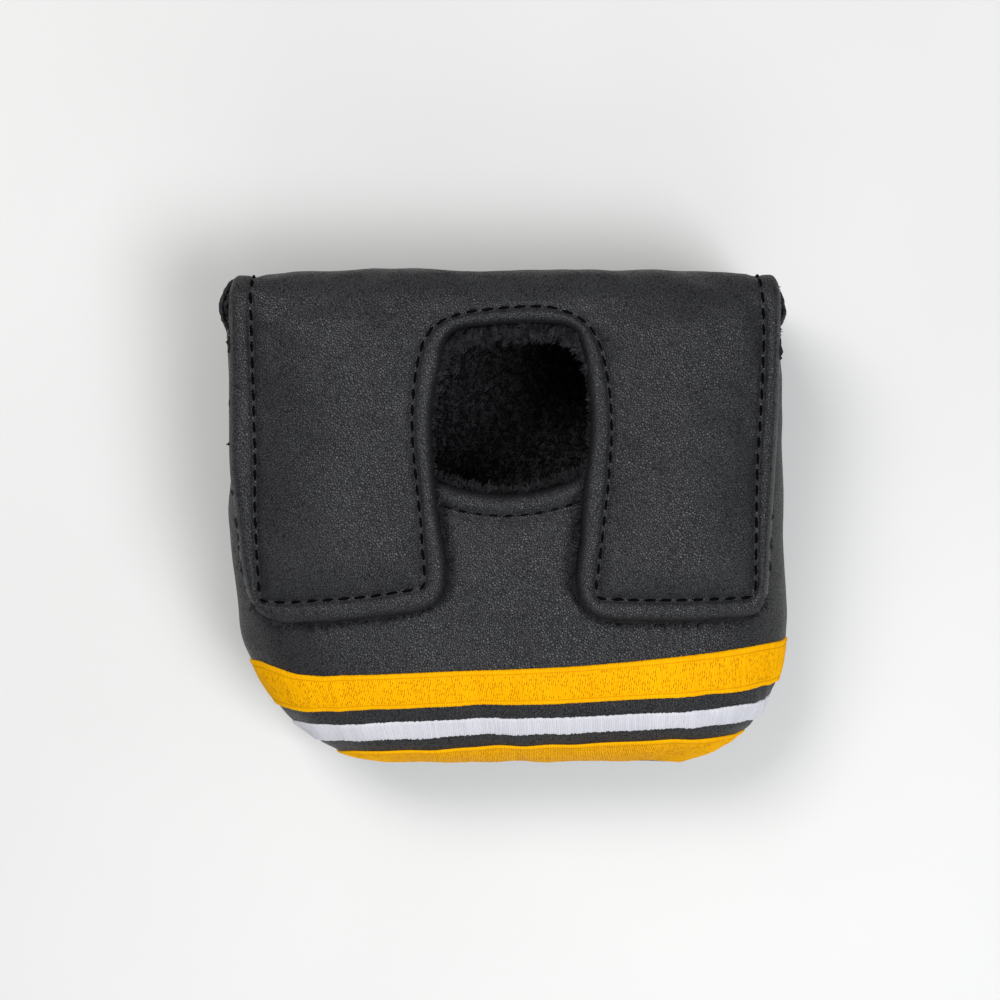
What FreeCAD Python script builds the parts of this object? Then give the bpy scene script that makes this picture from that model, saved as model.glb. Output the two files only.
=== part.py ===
import FreeCAD, Part
import Sketcher
import math
import os

# A padded putter head cover: a pouch of leather, foam and plush, open at the front under a
# two-legged magnetic flap. X is across the cover, +Y is towards the front (the fold the flap
# hangs from), +Z is up and the sole lies on z = 0. The origin is on the sole, in the middle
# of the outline. Left is -X.

Vector = FreeCAD.Vector
doc = FreeCAD.newDocument("putter_head_cover")

# Driving dimensions, in millimetres: alias, value, note.
DIMS = [
    ("half_width", 67.0, "half the width of the pouch"),
    ("rear_y", 57.5, "distance from the origin back to the rear nose"),
    ("front_y", 50.0, "where the pouch walls stop at the front"),
    ("wall_y", 58.0, "outer skin of the front wall"),
    ("pouch_height", 50.5, "height of the pouch, sole to crown"),
    ("corner_rad", 36.0, "plan radius of the rear corners"),
    ("top_rad_front", 13.0, "shoulder radius at the front"),
    ("top_rad_rear", 25.0, "shoulder radius round the rear"),
    ("sole_rad_front", 9.0, "lower edge radius at the front"),
    ("sole_rad_rear", 16.0, "lower edge radius round the rear"),
    ("skin", 1.2, "leather thickness"),
    ("pad_thick", 3.0, "foam thickness"),
    ("pile_thick", 2.4, "plush lining thickness"),
    ("ply_gap", 0.1, "play between plies"),
    ("no_inset", 0.0, "inset of a ply that follows the outline itself"),
    ("seam_z", 21.0, "height of the seam round the sides"),
    ("seam_thick", 0.8, "height of the gap the seam thread lies in"),
    ("seam_deep", 0.9, "how deep the seam thread sits"),
    ("seam_play", 0.05, "play above and below the seam thread"),
    ("seam_end", 1.0, "seam thread stops this far behind the pouch front"),
    ("tongue_lap", 2.0, "overlap of the sole tongue with the pouch"),
    ("mouth_half", 54.0, "half width of the mouth"),
    ("lip_y", 19.0, "front edge of the crown at the sides"),
    ("notch_y", 6.8, "deepest point of the notch in the lip"),
    ("notch_rad", 42.0, "radius of the notch"),
    ("notch_soft", 9.0, "rounding where the notch meets the lip"),
    ("roll_wide", 5.0, "width of the rolled lip"),
    ("roll_proud", 0.3, "how far the roll stands above the crown"),
    ("roll_rad", 2.4, "rounding of the roll"),
    ("lip_groove_front", 1.9, "front of the lip groove, from the back of the roll"),
    ("lip_groove_back", 0.8, "back of the lip groove, from the back of the roll"),
    ("lip_groove_end", 4.0, "lip groove stops short of the mouth sides"),
    ("lip_stitch_end", 6.5, "lip stitches stop short of the mouth sides"),
    ("wall_half", 63.2, "half width of the front wall and of the flap at the fold"),
    ("wall_foot", 1.4, "height the front wall starts at"),
    ("wall_corner", 12.0, "lower corner radius of the front wall"),
    ("wall_play", 0.6, "gap from the pouch front to the front wall lining"),
    ("wall_skin_drop", 0.5, "front leather stops below the flap"),
    ("wall_fill_drop", 0.8, "front foam and plush stop below the flap"),
    ("flap_under", 51.0, "underside of the flap"),
    ("flap_top", 57.5, "top face of the flap"),
    ("leg_half", 60.2, "half width of the flap at the leg ends"),
    ("leg_end", 23.0, "how far behind the origin the legs end"),
    ("leg_inner", 18.6, "how far back the legs reach at the slot"),
    ("leg_corner", 8.0, "outer corner radius of a leg"),
    ("leg_soft", 6.5, "inner corner radius of a leg"),
    ("leg_least", 1.0, "least corner radius of an inset leg"),
    ("slot_shift", 1.5, "slot centre, to the side of the middle"),
    ("slot_end", 15.0, "half width of the slot at the leg ends"),
    ("slot_mid", 18.0, "half width of the slot at its widest"),
    ("slot_mid_y", 20.0, "where the slot is widest"),
    ("slot_bend", 60.0, "rounding of the slot sides where it is widest"),
    ("slot_head", 15.6, "half width of the slot at its closed end"),
    ("slot_y", 45.9, "closed end of the slot"),
    ("slot_rad", 9.0, "corner radius at the closed end"),
    ("edge_wide", 6.2, "turned edge outside the foam"),
    ("stitch_in", 5.2, "topstitch distance from the edge"),
    ("stitch_pitch", 3.8, "one stitch every"),
    ("stitch_long", 2.7, "length of a stitch"),
    ("stitch_wide", 0.7, "width of a stitch"),
    ("stitch_deep", 0.5, "height of a stitch"),
    ("stitch_play", 0.03, "gap between a stitch and the groove floor"),
    ("groove_wide", 1.2, "width of the stitch groove"),
    ("groove_deep", 0.6, "depth of the stitch groove"),
    ("fold_clear", 4.0, "flap edge stitches stop short of the fold"),
    ("magnet_rad", 7.0, "closure magnet radius"),
    ("magnet_thick", 1.8, "closure magnet thickness"),
    ("magnet_x", 36.0, "magnet distance from the middle"),
    ("magnet_y", 5.5, "magnets behind the origin"),
    ("pile_over", 0.8, "plush standing past the leather at the sides of the slot"),
    ("pile_lip", 3.6, "plush standing past the leather at the closed end of the slot"),
    ("pile_in", 1.0, "plush set back from the outer edge"),
    ("band_thick", 0.5, "embroidery thickness"),
    ("band_clear", 0.5, "embroidery stops above the seam"),
    ("gold_a_front", 33.8, "front edge of the upper gold band"),
    ("gold_a_back", 42.9, "back edge of the upper gold band"),
    ("white_front", 46.3, "front edge of the white band"),
    ("white_back", 50.5, "back edge of the white band"),
    ("gold_b_front", 53.5, "front edge of the lower gold band"),
    ("gold_b_foot", 29.0, "lower edge of the lower gold band"),
    ("cut_far", 100.0, "half size in plan of the cutting boxes"),
    ("cut_high", 120.0, "top of the box round the upper half"),
    ("cut_low", 10.0, "depth below the sole of the box round the lower half"),
    ("cut_top", 80.0, "top of the mouth and band cutters"),
]

# Dimensions that follow from the others: alias, formula, note.
DERIVED = [
    ("inset_foam", "=skin + ply_gap", "outside of the foam"),
    ("inset_foam_in", "=inset_foam + pad_thick", "inside of the foam"),
    ("inset_pile", "=inset_foam_in + ply_gap", "outside of the plush"),
    ("inset_pile_in", "=inset_pile + pile_thick", "inside of the plush"),
    ("inset_band", "=-band_thick", "outside of the embroidery"),
    ("mouth_back", "=roll_wide + ply_gap", "pouch plies end behind the roll"),
    ("mouth_groove_a", "=roll_wide - lip_groove_front", "lip to the groove front"),
    ("mouth_groove_b", "=roll_wide - lip_groove_back", "lip to the groove back"),
    ("mouth_line", "=(mouth_groove_a + mouth_groove_b) / 2", "lip to the stitches"),
    ("flap_groove_a", "=stitch_in - groove_wide / 2", "flap edge to the near groove side"),
    ("flap_groove_b", "=stitch_in + groove_wide / 2", "flap edge to the far groove side"),
    ("inset_pad", "=edge_wide + ply_gap", "flap edge to its foam"),
    ("inset_slot_pile", "=-pile_over", "flap plush at the sides of the slot"),
    ("leather_foot", "=flap_under + pile_thick + ply_gap", "underside of the flap leather"),
    ("foam_head", "=flap_top - skin - ply_gap", "top of the flap foam"),
    ("front_inner", "=front_y + wall_play", "back of the front wall and front of the flap rooms"),
    ("pad_front", "=front_inner - ply_gap", "front of the flap foam"),
    ("crown_magnet_foot", "=pouch_height - inset_foam - magnet_thick - ply_gap",
     "underside of the crown magnets"),
]

sheet = doc.addObject("Spreadsheet::Sheet", "dims")
for row, (name, content, note) in enumerate(DIMS + DERIVED, start=1):
    sheet.set("A%d" % row, name)
    sheet.set("B%d" % row, str(content))
    sheet.set("C%d" % row, note)
    sheet.setAlias("B%d" % row, name)
doc.recompute()
dim = {name: float(sheet.get(name)) for name, _content, _note in DIMS + DERIVED}

TOUCH = 0.01                # distance within which two coordinates are the same
SPOT = 0.6                  # how near an upright edge stands to the spot it is picked by
SIDES = (("left", "-"), ("right", ""))
LIP_GROOVE_FLOOR = "pouch_height + roll_proud - groove_deep"
PARTS = []


# ----------------------------------------------------------------------------
# Sizes are written as texts of aliases, which serve as expression and as number.
# ----------------------------------------------------------------------------
def cells(text):
    """Expression text with each alias written as a cell of the sheet."""
    out, word = "", ""
    for char in text + " ":
        if char.isalnum() or char == "_":
            word += char
        else:
            out += ("dims." + word if word in dim else word) + char
            word = ""
    return out.strip()


def number(text):
    """Value of a text of sums, differences and products, without brackets."""
    total = 0.0
    for term in text.replace("-", "+-").split("+"):
        term = term.strip()
        if not term:
            continue
        product = -1.0 if term.startswith("-") else 1.0
        for factor in term.lstrip("-").split("*"):
            factor = factor.strip()
            product *= dim[factor] if factor in dim else float(factor)
        total += product
    return total


def bind(obj, **sizes):
    """Drive properties of an object; x, y and z stand for its place."""
    for key, text in sizes.items():
        prop = "Placement.Base." + key if key in ("x", "y", "z") else key
        obj.setExpression(prop, cells(text))


def keep(obj, label):
    """Label an object as a finished piece."""
    obj.Label = label
    PARTS.append(obj)


# ----------------------------------------------------------------------------
# Edge selection
# ----------------------------------------------------------------------------
def ends(edge):
    return edge.Vertexes[0].Point, edge.Vertexes[-1].Point


def middle(edge):
    return edge.valueAt((edge.FirstParameter + edge.LastParameter) / 2)


def is_level(edge):
    start, end = ends(edge)
    return abs(start.z - end.z) <= TOUCH


def upright_near(edge, spots):
    """Whether an edge is upright and stands at one of these (x, y) spots."""
    start, end = ends(edge)
    if abs(start.x - end.x) > TOUCH or abs(start.y - end.y) > TOUCH:
        return False
    return any(math.hypot(start.x - x, start.y - y) < SPOT for x, y in spots)


def edge_numbers(shape, wanted):
    return [i for i, edge in enumerate(shape.Edges, start=1) if wanted(edge)]


# ----------------------------------------------------------------------------
# Building blocks
# ----------------------------------------------------------------------------
def boolean(kind, name, base, tool):
    obj = doc.addObject("Part::" + kind, name)
    obj.Base, obj.Tool = base, tool
    return obj


def box(name, x0, x1, y0, y1, z0, z1):
    obj = doc.addObject("Part::Box", name)
    bind(obj, Length="(%s) - (%s)" % (x1, x0), Width="(%s) - (%s)" % (y1, y0),
         Height="(%s) - (%s)" % (z1, z0), x=x0, y=y0, z=z0)
    return obj


def wide_box(name, y0, y1, z0, z1):
    """Cutting box that spans the cover from side to side."""
    return box(name, "-cut_far", "cut_far", y0, y1, z0, z1)


def cylinder(name, radius, x, y, z0, height):
    obj = doc.addObject("Part::Cylinder", name)
    bind(obj, Radius=radius, Height=height, x=x, y=y, z=z0)
    return obj


def fillet(name, base, edges):
    """Rounding of (edge number, start radius, end radius) entries."""
    if not edges:
        raise RuntimeError("no edges to round for " + name)
    obj = doc.addObject("Part::Fillet", name)
    obj.Base = base
    obj.Edges = edges
    doc.recompute()
    return obj


def polygon_sketch(body, name, points):
    """Closed polygon whose every corner is held by two driven distances."""
    sketch = body.newObject("Sketcher::SketchObject", name)
    ground = [f for f in body.Origin.OriginFeatures if f.Role == "XY_Plane"][0]
    sketch.AttachmentSupport = [(ground, "")]
    sketch.MapMode = "FlatFace"
    count = len(points)
    places = [(number(x), number(y)) for x, y in points]
    for i in range(count):
        start = Vector(*places[i], 0)
        end = Vector(*places[(i + 1) % count], 0)
        sketch.addGeometry(Part.LineSegment(start, end), False)
    for i in range(count):
        sketch.addConstraint(Sketcher.Constraint("Coincident", i, 2, (i + 1) % count, 1))
    for i in range(count):
        for axis, kind in enumerate(("DistanceX", "DistanceY")):
            held = Sketcher.Constraint(kind, -1, 1, i, 1, places[i][axis])
            index = sketch.addConstraint(held)
            sketch.setExpression("Constraints[%d]" % index, cells(points[i][axis]))
    return sketch


def padded_body(name, points, length, base, rounds, standing=False):
    """Polygon padded up from z = base, or padded back from y = base if standing.

    rounds lists (corner points, radius), in the order they are rounded.
    """
    body = doc.addObject("PartDesign::Body", name)
    sketch = polygon_sketch(body, name + "_outline", points)
    tip = body.newObject("PartDesign::Pad", name + "_pad")
    tip.Profile = sketch
    bind(tip, Length=length)
    if standing:
        body.Placement = FreeCAD.Placement(Vector(0, 0, 0),
                                           FreeCAD.Rotation(Vector(1, 0, 0), 90))
        bind(body, y=base)
    else:
        bind(body, z=base)
    doc.recompute()
    for i, (corners, radius) in enumerate(rounds):
        spots = [(number(x), number(y)) for x, y in corners]
        picked = edge_numbers(tip.Shape, lambda edge: upright_near(edge, spots))
        if not picked:
            raise RuntimeError("no edges to round on " + name)
        rounding = body.newObject("PartDesign::Fillet", "%s_round%d" % (name, i))
        rounding.Base = (tip, ["Edge%d" % k for k in picked])
        bind(rounding, Radius=radius)
        doc.recompute()
        tip = rounding
    body.Tip = tip
    doc.recompute()
    return body


# ----------------------------------------------------------------------------
# Shapes the pouch is cut from. The pouch is a pillow with a D-shaped plan, open
# at the front. Every ply is what lies between two nested pillows.
# ----------------------------------------------------------------------------
def pillow(name, inset):
    """D-plan pillow inset all round, its shoulders rounding more to the rear."""
    left, right = "-half_width + " + inset, "half_width - " + inset
    rear = "-rear_y + " + inset
    body = padded_body(
        name, [(left, rear), (right, rear), (right, "front_y"), (left, "front_y")],
        "pouch_height - 2*" + inset, inset,
        [([(left, rear), (right, rear)], "corner_rad - " + inset)])

    depth = dim[inset]
    front = dim["front_y"]
    corner_y = dim["corner_rad"] - dim["rear_y"]    # front end of the rear corners
    least = 0.5

    def radius_at(y, rim):
        """Grows evenly from the front to the start of the corner."""
        rear_rad = dim[rim + "_rad_rear"]
        if y <= corner_y + TOUCH:
            return max(rear_rad - depth, least)
        front_rad = dim[rim + "_rad_front"]
        slope = (rear_rad - front_rad) / (corner_y - front)
        return max(front_rad + slope * (y - front) - depth, least)

    edges = []
    for i, edge in enumerate(body.Shape.Edges, start=1):
        start, end = ends(edge)
        at_front = abs(start.y - front) < TOUCH and abs(end.y - front) < TOUCH
        if at_front or not is_level(edge):
            continue
        on_crown = abs(start.z - (dim["pouch_height"] - depth)) < TOUCH
        rim = "top" if on_crown else "sole"
        edges.append((i, radius_at(edge.valueAt(edge.FirstParameter).y, rim),
                      radius_at(edge.valueAt(edge.LastParameter).y, rim)))
    return fillet(name + "_soft", body, edges)


def opening(name, back, z0):
    """The mouth: a straight edge with a round notch in its middle, moved back
    by a distance, from a height upwards."""
    straight = box(name + "_straight", "-mouth_half", "mouth_half",
                   "lip_y - " + back, "cut_top", z0, "cut_top")
    # z0 is not bracketed, so the two tops can differ; both stand clear of the crown
    notch = cylinder(name + "_notch", "notch_rad + " + back, "0", "notch_y + notch_rad",
                     z0, "cut_top - " + z0)
    mouth = boolean("Fuse", name + "_mouth", straight, notch)
    doc.recompute()
    edge_y = dim["lip_y"] - dim[back]
    reach = dim["notch_rad"] + dim[back]
    rise = dim["notch_y"] + dim["notch_rad"] - edge_y
    corner_x = math.sqrt(reach * reach - rise * rise)
    spots = [(-corner_x, edge_y), (corner_x, edge_y)]
    picked = edge_numbers(mouth.Shape, lambda edge: upright_near(edge, spots))
    if len(picked) != 2:
        raise RuntimeError("notch corners not found on " + name)
    radius = dim["notch_soft"] - dim[back]
    return fillet(name, mouth, [(i, radius, radius) for i in picked])


def magnet_disc(name, sign, radius, z0, height):
    """Upright cylinder at a magnet's place, on the side given by its sign."""
    return cylinder(name, radius, sign + "magnet_x", "-magnet_y", z0, height)


# ----------------------------------------------------------------------------
# Pouch
# ----------------------------------------------------------------------------
def pouch_leather(outside, mouth):
    shell = boolean("Cut", "skin_shell", outside, pillow("pillow_skin_in", "skin"))
    # the halves stand a seam thread's height apart
    upper = wide_box("upper_half", "-cut_far", "cut_far", "seam_z + seam_thick", "cut_high")
    lower = wide_box("lower_half", "-cut_far", "cut_far", "-cut_low", "seam_z")
    crown = boolean("Common", "crown_skin", shell, upper)
    keep(boolean("Cut", "crown_skin_open", crown, mouth), "crown_panel")

    sole = boolean("Common", "sole_skin", shell, lower)
    tongue = box("sole_tongue", "-wall_half + wall_corner", "wall_half - wall_corner",
                 "front_y - tongue_lap", "wall_y - ply_gap", "0", "skin")
    keep(boolean("Fuse", "sole_skin_tongue", sole, tongue), "sole_panel")


def pouch_foam(upper, lower, mouth):
    foam = boolean("Cut", "foam_shell", pillow("pillow_foam_out", "inset_foam"),
                   pillow("pillow_foam_in", "inset_foam_in"))
    crown = boolean("Common", "crown_foam_half", foam, upper)
    opened = boolean("Cut", "crown_foam_open", crown, mouth)
    # the seats run on up through the top of the foam
    seats = [magnet_disc("crown_magnet_seat_" + side, sign, "magnet_rad + ply_gap",
                         "crown_magnet_foot - ply_gap", "20") for side, sign in SIDES]
    both_seats = boolean("Fuse", "crown_magnet_seats", *seats)
    keep(boolean("Cut", "crown_foam_seated", opened, both_seats), "crown_foam")
    keep(boolean("Common", "sole_foam_half", foam, lower), "sole_foam")


def pouch_plush(upper, lower, mouth):
    pile = boolean("Cut", "pile_shell", pillow("pillow_pile_out", "inset_pile"),
                   pillow("pillow_pile_in", "inset_pile_in"))
    crown = boolean("Common", "crown_pile_half", pile, upper)
    keep(boolean("Cut", "crown_pile_open", crown, mouth), "crown_lining")
    keep(boolean("Common", "sole_pile_half", pile, lower), "sole_lining")


def seam_thread(outside):
    """Thread round the sides and rear, between the leather halves."""
    ring = boolean("Cut", "seam_ring", outside, pillow("pillow_seam", "seam_deep"))
    slab = wide_box("seam_slab", "-cut_far", "front_y - seam_end",
                    "seam_z", "seam_z + seam_thick")
    sliced = boolean("Common", "seam_ring_slice", ring, slab)
    trim = wide_box("seam_trim", "-cut_far", "cut_far",
                    "seam_z + seam_play", "seam_z + seam_thick - seam_play")
    keep(boolean("Common", "seam_ring_trim", sliced, trim), "perimeter_seam_thread")


def on_lip_front(edge):
    """Level edge of the roll that lies on the mouth's own outline."""
    near, shortest = 0.2, 6.0
    if not is_level(edge) or edge.Length <= shortest:
        return False
    mid = middle(edge)
    from_centre = math.hypot(mid.x, mid.y - dim["notch_y"] - dim["notch_rad"])
    return abs(from_centre - dim["notch_rad"]) < near or abs(mid.y - dim["lip_y"]) < near


def rolled_lip():
    """Roll along the front edge of the crown, with a groove for its topstitch."""
    front = opening("mouth_front", "no_inset", "-5")
    back = opening("mouth_roll", "roll_wide", "-5")
    slab = box("roll_slab", "-mouth_half + ply_gap", "mouth_half - ply_gap", "-40", "lip_y",
               "pouch_height - inset_pile_in", "pouch_height + roll_proud")
    strip = boolean("Common", "roll_back", slab, back)
    roll = boolean("Cut", "roll_front", strip, front)
    doc.recompute()
    radius = dim["roll_rad"]
    picked = edge_numbers(roll.Shape, on_lip_front)
    soft = fillet("roll_soft", roll, [(i, radius, radius) for i in picked])

    groove_back = opening("lip_groove_back", "mouth_groove_b", LIP_GROOVE_FLOOR)
    groove_front = opening("lip_groove_front", "mouth_groove_a", "-6")
    groove = boolean("Cut", "lip_groove", groove_back, groove_front)
    span = box("lip_groove_span", "-mouth_half + lip_groove_end",
               "mouth_half - lip_groove_end", "-40", "cut_top", "0", "cut_top")
    shortened = boolean("Common", "lip_groove_middle", groove, span)
    keep(boolean("Cut", "roll_grooved", soft, shortened), "lip_binding")


# ----------------------------------------------------------------------------
# Front wall
# ----------------------------------------------------------------------------
def wall_ply(name, y0, y1, inset, top):
    """Upright ply of the front wall, its lower corners rounded."""
    left, right = "-wall_half + " + inset, "wall_half - " + inset
    foot = "wall_foot + " + inset
    return padded_body(
        name, [(left, foot), (right, foot), (right, top), (left, top)],
        "(%s) - (%s)" % (y1, y0), y1,
        [([(left, foot), (right, foot)], "wall_corner - " + inset)], standing=True)


def front_wall():
    keep(wall_ply("front_skin", "wall_y - skin", "wall_y", "no_inset",
                  "flap_under - wall_skin_drop"), "front_panel")
    keep(wall_ply("front_pad", "front_inner + pile_thick + ply_gap",
                  "wall_y - skin - ply_gap", "inset_foam",
                  "flap_under - wall_fill_drop"), "front_foam")
    keep(wall_ply("front_pile", "front_inner", "front_inner + pile_thick", "inset_foam",
                  "flap_under - wall_fill_drop"), "front_lining")


# ----------------------------------------------------------------------------
# Flap: two legs round a slot
# ----------------------------------------------------------------------------
def leg_outline(sign, inset, slot_inset, front, head_y):
    """Corners of one leg: outer side at the fold, outer end, inner end, where the
    slot is widest, and where its side ends towards the fold."""
    inward, slotward = ("+", "-") if sign == "-" else ("-", "+")

    def outer(half):
        return "%s%s %s %s" % (sign, half, inward, inset)

    def inner(half):
        return "slot_shift %s %s %s %s" % (slotward, half, slotward, slot_inset)

    return [(outer("wall_half"), front),
            (outer("leg_half"), "-leg_end + " + inset),
            (inner("slot_end"), "-leg_inner + " + inset),
            (inner("slot_mid"), "slot_mid_y"),
            (inner("slot_head"), head_y)]


def leg_rounds(legs, inset):
    """Roundings of the ends and of the slot sides of one or both legs."""
    def less(radius):
        text = radius + " - " + inset
        return text if number(text) > dim["leg_least"] else "leg_least"

    return [([leg[1] for leg in legs], less("leg_corner")),
            ([leg[2] for leg in legs], less("leg_soft")),
            ([leg[3] for leg in legs], "slot_bend")]


def flap_ply(name, inset, front, z0, z1, slot_inset=None, head_y=None):
    """Whole ply of the flap between two heights; the slot may have its own inset."""
    slot_inset = slot_inset or inset
    head_y = head_y or "slot_y + " + inset
    legs = [leg_outline(sign, inset, slot_inset, front, head_y) for _side, sign in SIDES]
    rounds = leg_rounds(legs, inset)
    rounds.append(([leg[4] for leg in legs], "slot_rad + " + slot_inset))
    return padded_body(name, legs[0] + legs[1][::-1], "%s - (%s)" % (z1, z0), z0, rounds)


def leg_ply(name, sign, inset, front, z0, z1):
    """One leg of a flap ply, from its end up to the fold."""
    leg = leg_outline(sign, inset, inset, front, front)
    return padded_body(name, leg, "%s - (%s)" % (z1, z0), z0, leg_rounds([leg], inset))


def flap_leather():
    """Leather with a room for foam in each leg and a groove for the topstitch."""
    full = flap_ply("flap_skin", "no_inset", "wall_y", "leather_foot", "flap_top")
    rooms = [leg_ply("flap_room_" + side, sign, "edge_wide", "front_inner",
                     "leather_foot - 5", "flap_top - skin") for side, sign in SIDES]
    both_rooms = boolean("Fuse", "flap_rooms", *rooms)
    groove_out = flap_ply("flap_groove_out", "flap_groove_a", "wall_y + 5",
                          "flap_top - groove_deep", "flap_top + 5")
    groove_in = flap_ply("flap_groove_in", "flap_groove_b", "wall_y + 6",
                         "flap_top - groove_deep - 1", "flap_top + 6")
    groove = boolean("Cut", "flap_groove", groove_out, groove_in)
    hollow = boolean("Cut", "flap_skin_hollow", full, both_rooms)
    keep(boolean("Cut", "flap_skin_grooved", hollow, groove), "flap_panel")
    doc.recompute()


def flap_foam():
    for side, sign in SIDES:
        pad = leg_ply("flap_pad_" + side, sign, "inset_pad", "pad_front",
                      "leather_foot", "foam_head")
        seat = magnet_disc("flap_magnet_seat_" + side, sign, "magnet_rad + ply_gap",
                           "leather_foot - 1", "magnet_thick + 2*ply_gap + 1")
        keep(boolean("Cut", "flap_pad_seated_" + side, pad, seat), "flap_foam_" + side)


def flap_plush():
    keep(flap_ply("flap_pile", "pile_in", "wall_y - skin - ply_gap",
                  "flap_under", "flap_under + pile_thick",
                  slot_inset="inset_slot_pile", head_y="slot_y - pile_lip"), "flap_lining")


def magnets():
    for side, sign in SIDES:
        keep(magnet_disc("magnet_in_flap_" + side, sign, "magnet_rad",
                         "leather_foot + ply_gap", "magnet_thick"), "flap_magnet_" + side)
        keep(magnet_disc("magnet_in_crown_" + side, sign, "magnet_rad",
                         "crown_magnet_foot", "magnet_thick"), "crown_magnet_" + side)


# ----------------------------------------------------------------------------
# Embroidered bands over the rounded rear
# ----------------------------------------------------------------------------
def stripes(outside):
    shell = boolean("Cut", "band_shell", pillow("pillow_band", "inset_band"), outside)
    above_seam = "seam_z + seam_thick + band_clear"
    # label, back edge, front edge, lower edge
    bands = (("stripe_upper_gold", "-gold_a_back", "-gold_a_front", above_seam),
             ("stripe_middle_white", "-white_back", "-white_front", above_seam),
             ("stripe_lower_gold", "-70", "-gold_b_front", "gold_b_foot"))
    for label, back, front, foot in bands:
        zone = wide_box(label + "_zone", back, front, foot, "cut_top")
        keep(boolean("Common", label + "_cut", shell, zone), label)


# ----------------------------------------------------------------------------
# Topstitches: small bars with round ends, one every pitch, laid in the grooves
# ----------------------------------------------------------------------------
def stitch(centre, angle, z):
    """One stitch: a round-ended bar lying along an angle, in radians."""
    radius = dim["stitch_wide"] / 2.0
    straight = dim["stitch_long"] / 2.0 - radius
    corners = [Vector(-straight, -radius, 0), Vector(straight, -radius, 0),
               Vector(straight, radius, 0), Vector(-straight, radius, 0)]
    tip = Vector(straight + radius, 0, 0)
    outline = Part.Wire([Part.LineSegment(corners[0], corners[1]).toShape(),
                         Part.Arc(corners[1], tip, corners[2]).toShape(),
                         Part.LineSegment(corners[2], corners[3]).toShape(),
                         Part.Arc(corners[3], -tip, corners[0]).toShape()])
    solid = Part.Face(outline).extrude(Vector(0, 0, dim["stitch_deep"]))
    solid.rotate(Vector(0, 0, 0), Vector(0, 0, 1), math.degrees(angle))
    solid.translate(Vector(centre.x, centre.y, z))
    return solid


def stitch_run(edges, z, wanted=lambda centre: True):
    """Stitches spaced evenly along a chain of edges."""
    chain = Part.Wire(Part.__sortEdges__(edges))
    count = int(round(chain.Length / dim["stitch_pitch"]))
    # each pitch is cut in eight; a stitch is centred on 4 and directed from 2 to 6
    points = chain.discretize(Number=count * 8 + 1)
    run = []
    for i in range(count):
        before, centre, after = points[i * 8 + 2], points[i * 8 + 4], points[i * 8 + 6]
        if wanted(centre):
            angle = math.atan2(after.y - before.y, after.x - before.x)
            run.append(stitch(centre, angle, z))
    return run


def outline_edges(shape, z, wanted):
    """Edges with both ends at a height, chosen by their middle point."""
    return [edge for edge in shape.Edges
            if all(abs(end.z - z) < TOUCH for end in ends(edge)) and wanted(middle(edge))]


def keep_group(label, solids):
    group = doc.addObject("Part::Feature", label)
    group.Shape = Part.makeCompound(solids)
    keep(group, label)


def flap_stitches():
    path = flap_ply("flap_stitch_path", "stitch_in", "wall_y + 1",
                    "flap_top - groove_deep", "flap_top").Shape
    floor = number("flap_top - groove_deep")
    z = floor + dim["stitch_play"]
    slot_half = number("slot_mid + stitch_in + 0.4")
    slot_back = number("-leg_inner + stitch_in - 0.2")
    last_y = number("wall_y - fold_clear")

    def in_slot(mid):
        return abs(mid.x - dim["slot_shift"]) < slot_half and mid.y > slot_back

    edge_run = []
    for facing in (-1, 1):
        side_edges = outline_edges(
            path, floor,
            lambda mid: not in_slot(mid) and mid.x * facing > 0 and mid.y < dim["wall_y"])
        edge_run += stitch_run(side_edges, z, lambda centre: centre.y < last_y)
    keep_group("flap_edge_stitch", edge_run)
    keep_group("flap_slot_stitch", stitch_run(outline_edges(path, floor, in_slot), z))


def lip_stitches():
    path = opening("lip_stitch_path", "mouth_line", "0").Shape
    front = dim["lip_y"] - dim["mouth_line"] + TOUCH
    half = dim["mouth_half"]
    edges = outline_edges(path, 0.0, lambda mid: mid.y < front and abs(mid.x) < half - 0.5)
    keep_group("lip_topstitch", stitch_run(
        edges, number(LIP_GROOVE_FLOOR + " + stitch_play"),
        lambda centre: abs(centre.x) < half - dim["lip_stitch_end"]))


# ----------------------------------------------------------------------------
# Build every piece
# ----------------------------------------------------------------------------
pouch_outside = pillow("pillow_skin_out", "no_inset")
pouch_mouth = opening("mouth_back", "mouth_back", "seam_z + seam_thick")
upper_inside = wide_box("upper_half_inside", "-cut_far", "cut_far",
                        "seam_z + ply_gap", "cut_high")
lower_inside = wide_box("lower_half_inside", "-cut_far", "cut_far", "-cut_low", "seam_z")

pouch_leather(pouch_outside, pouch_mouth)
pouch_foam(upper_inside, lower_inside, pouch_mouth)
pouch_plush(upper_inside, lower_inside, pouch_mouth)
seam_thread(pouch_outside)
rolled_lip()
front_wall()
flap_leather()
flap_foam()
flap_plush()
magnets()
stripes(pouch_outside)
flap_stitches()
lip_stitches()

# Check every object, then write one file for each piece.
doc.recompute()
bad = ["%s: %s" % (obj.Name, obj.State) for obj in doc.Objects
       if "Invalid" in obj.State or "Error" in obj.State]
for obj in PARTS:
    shape = obj.Shape
    if shape.isNull() or not shape.isValid() or not shape.Solids or shape.Volume <= 0:
        bad.append("%s: shape not sound" % obj.Label)
if bad:
    raise RuntimeError("; ".join(bad))
os.makedirs("parts", exist_ok=True)
for obj in PARTS:
    obj.Shape.exportStep(os.path.join("parts", obj.Label + ".step"))
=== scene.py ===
# A padded black leather cover resting on its sole: a D-shaped pouch with a mouth in
# its crown, a front wall, and a slotted flap that folds back from the wall over the top.
# X runs left to right, Y from the rear (-) to the front wall (+), Z up from the sole.
# Points are in millimetres; objects, lights and the camera are placed in metres.
import math

import bmesh
import bpy
import numpy as np
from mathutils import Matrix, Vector, kdtree
from mathutils.geometry import delaunay_2d_cdt


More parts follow.
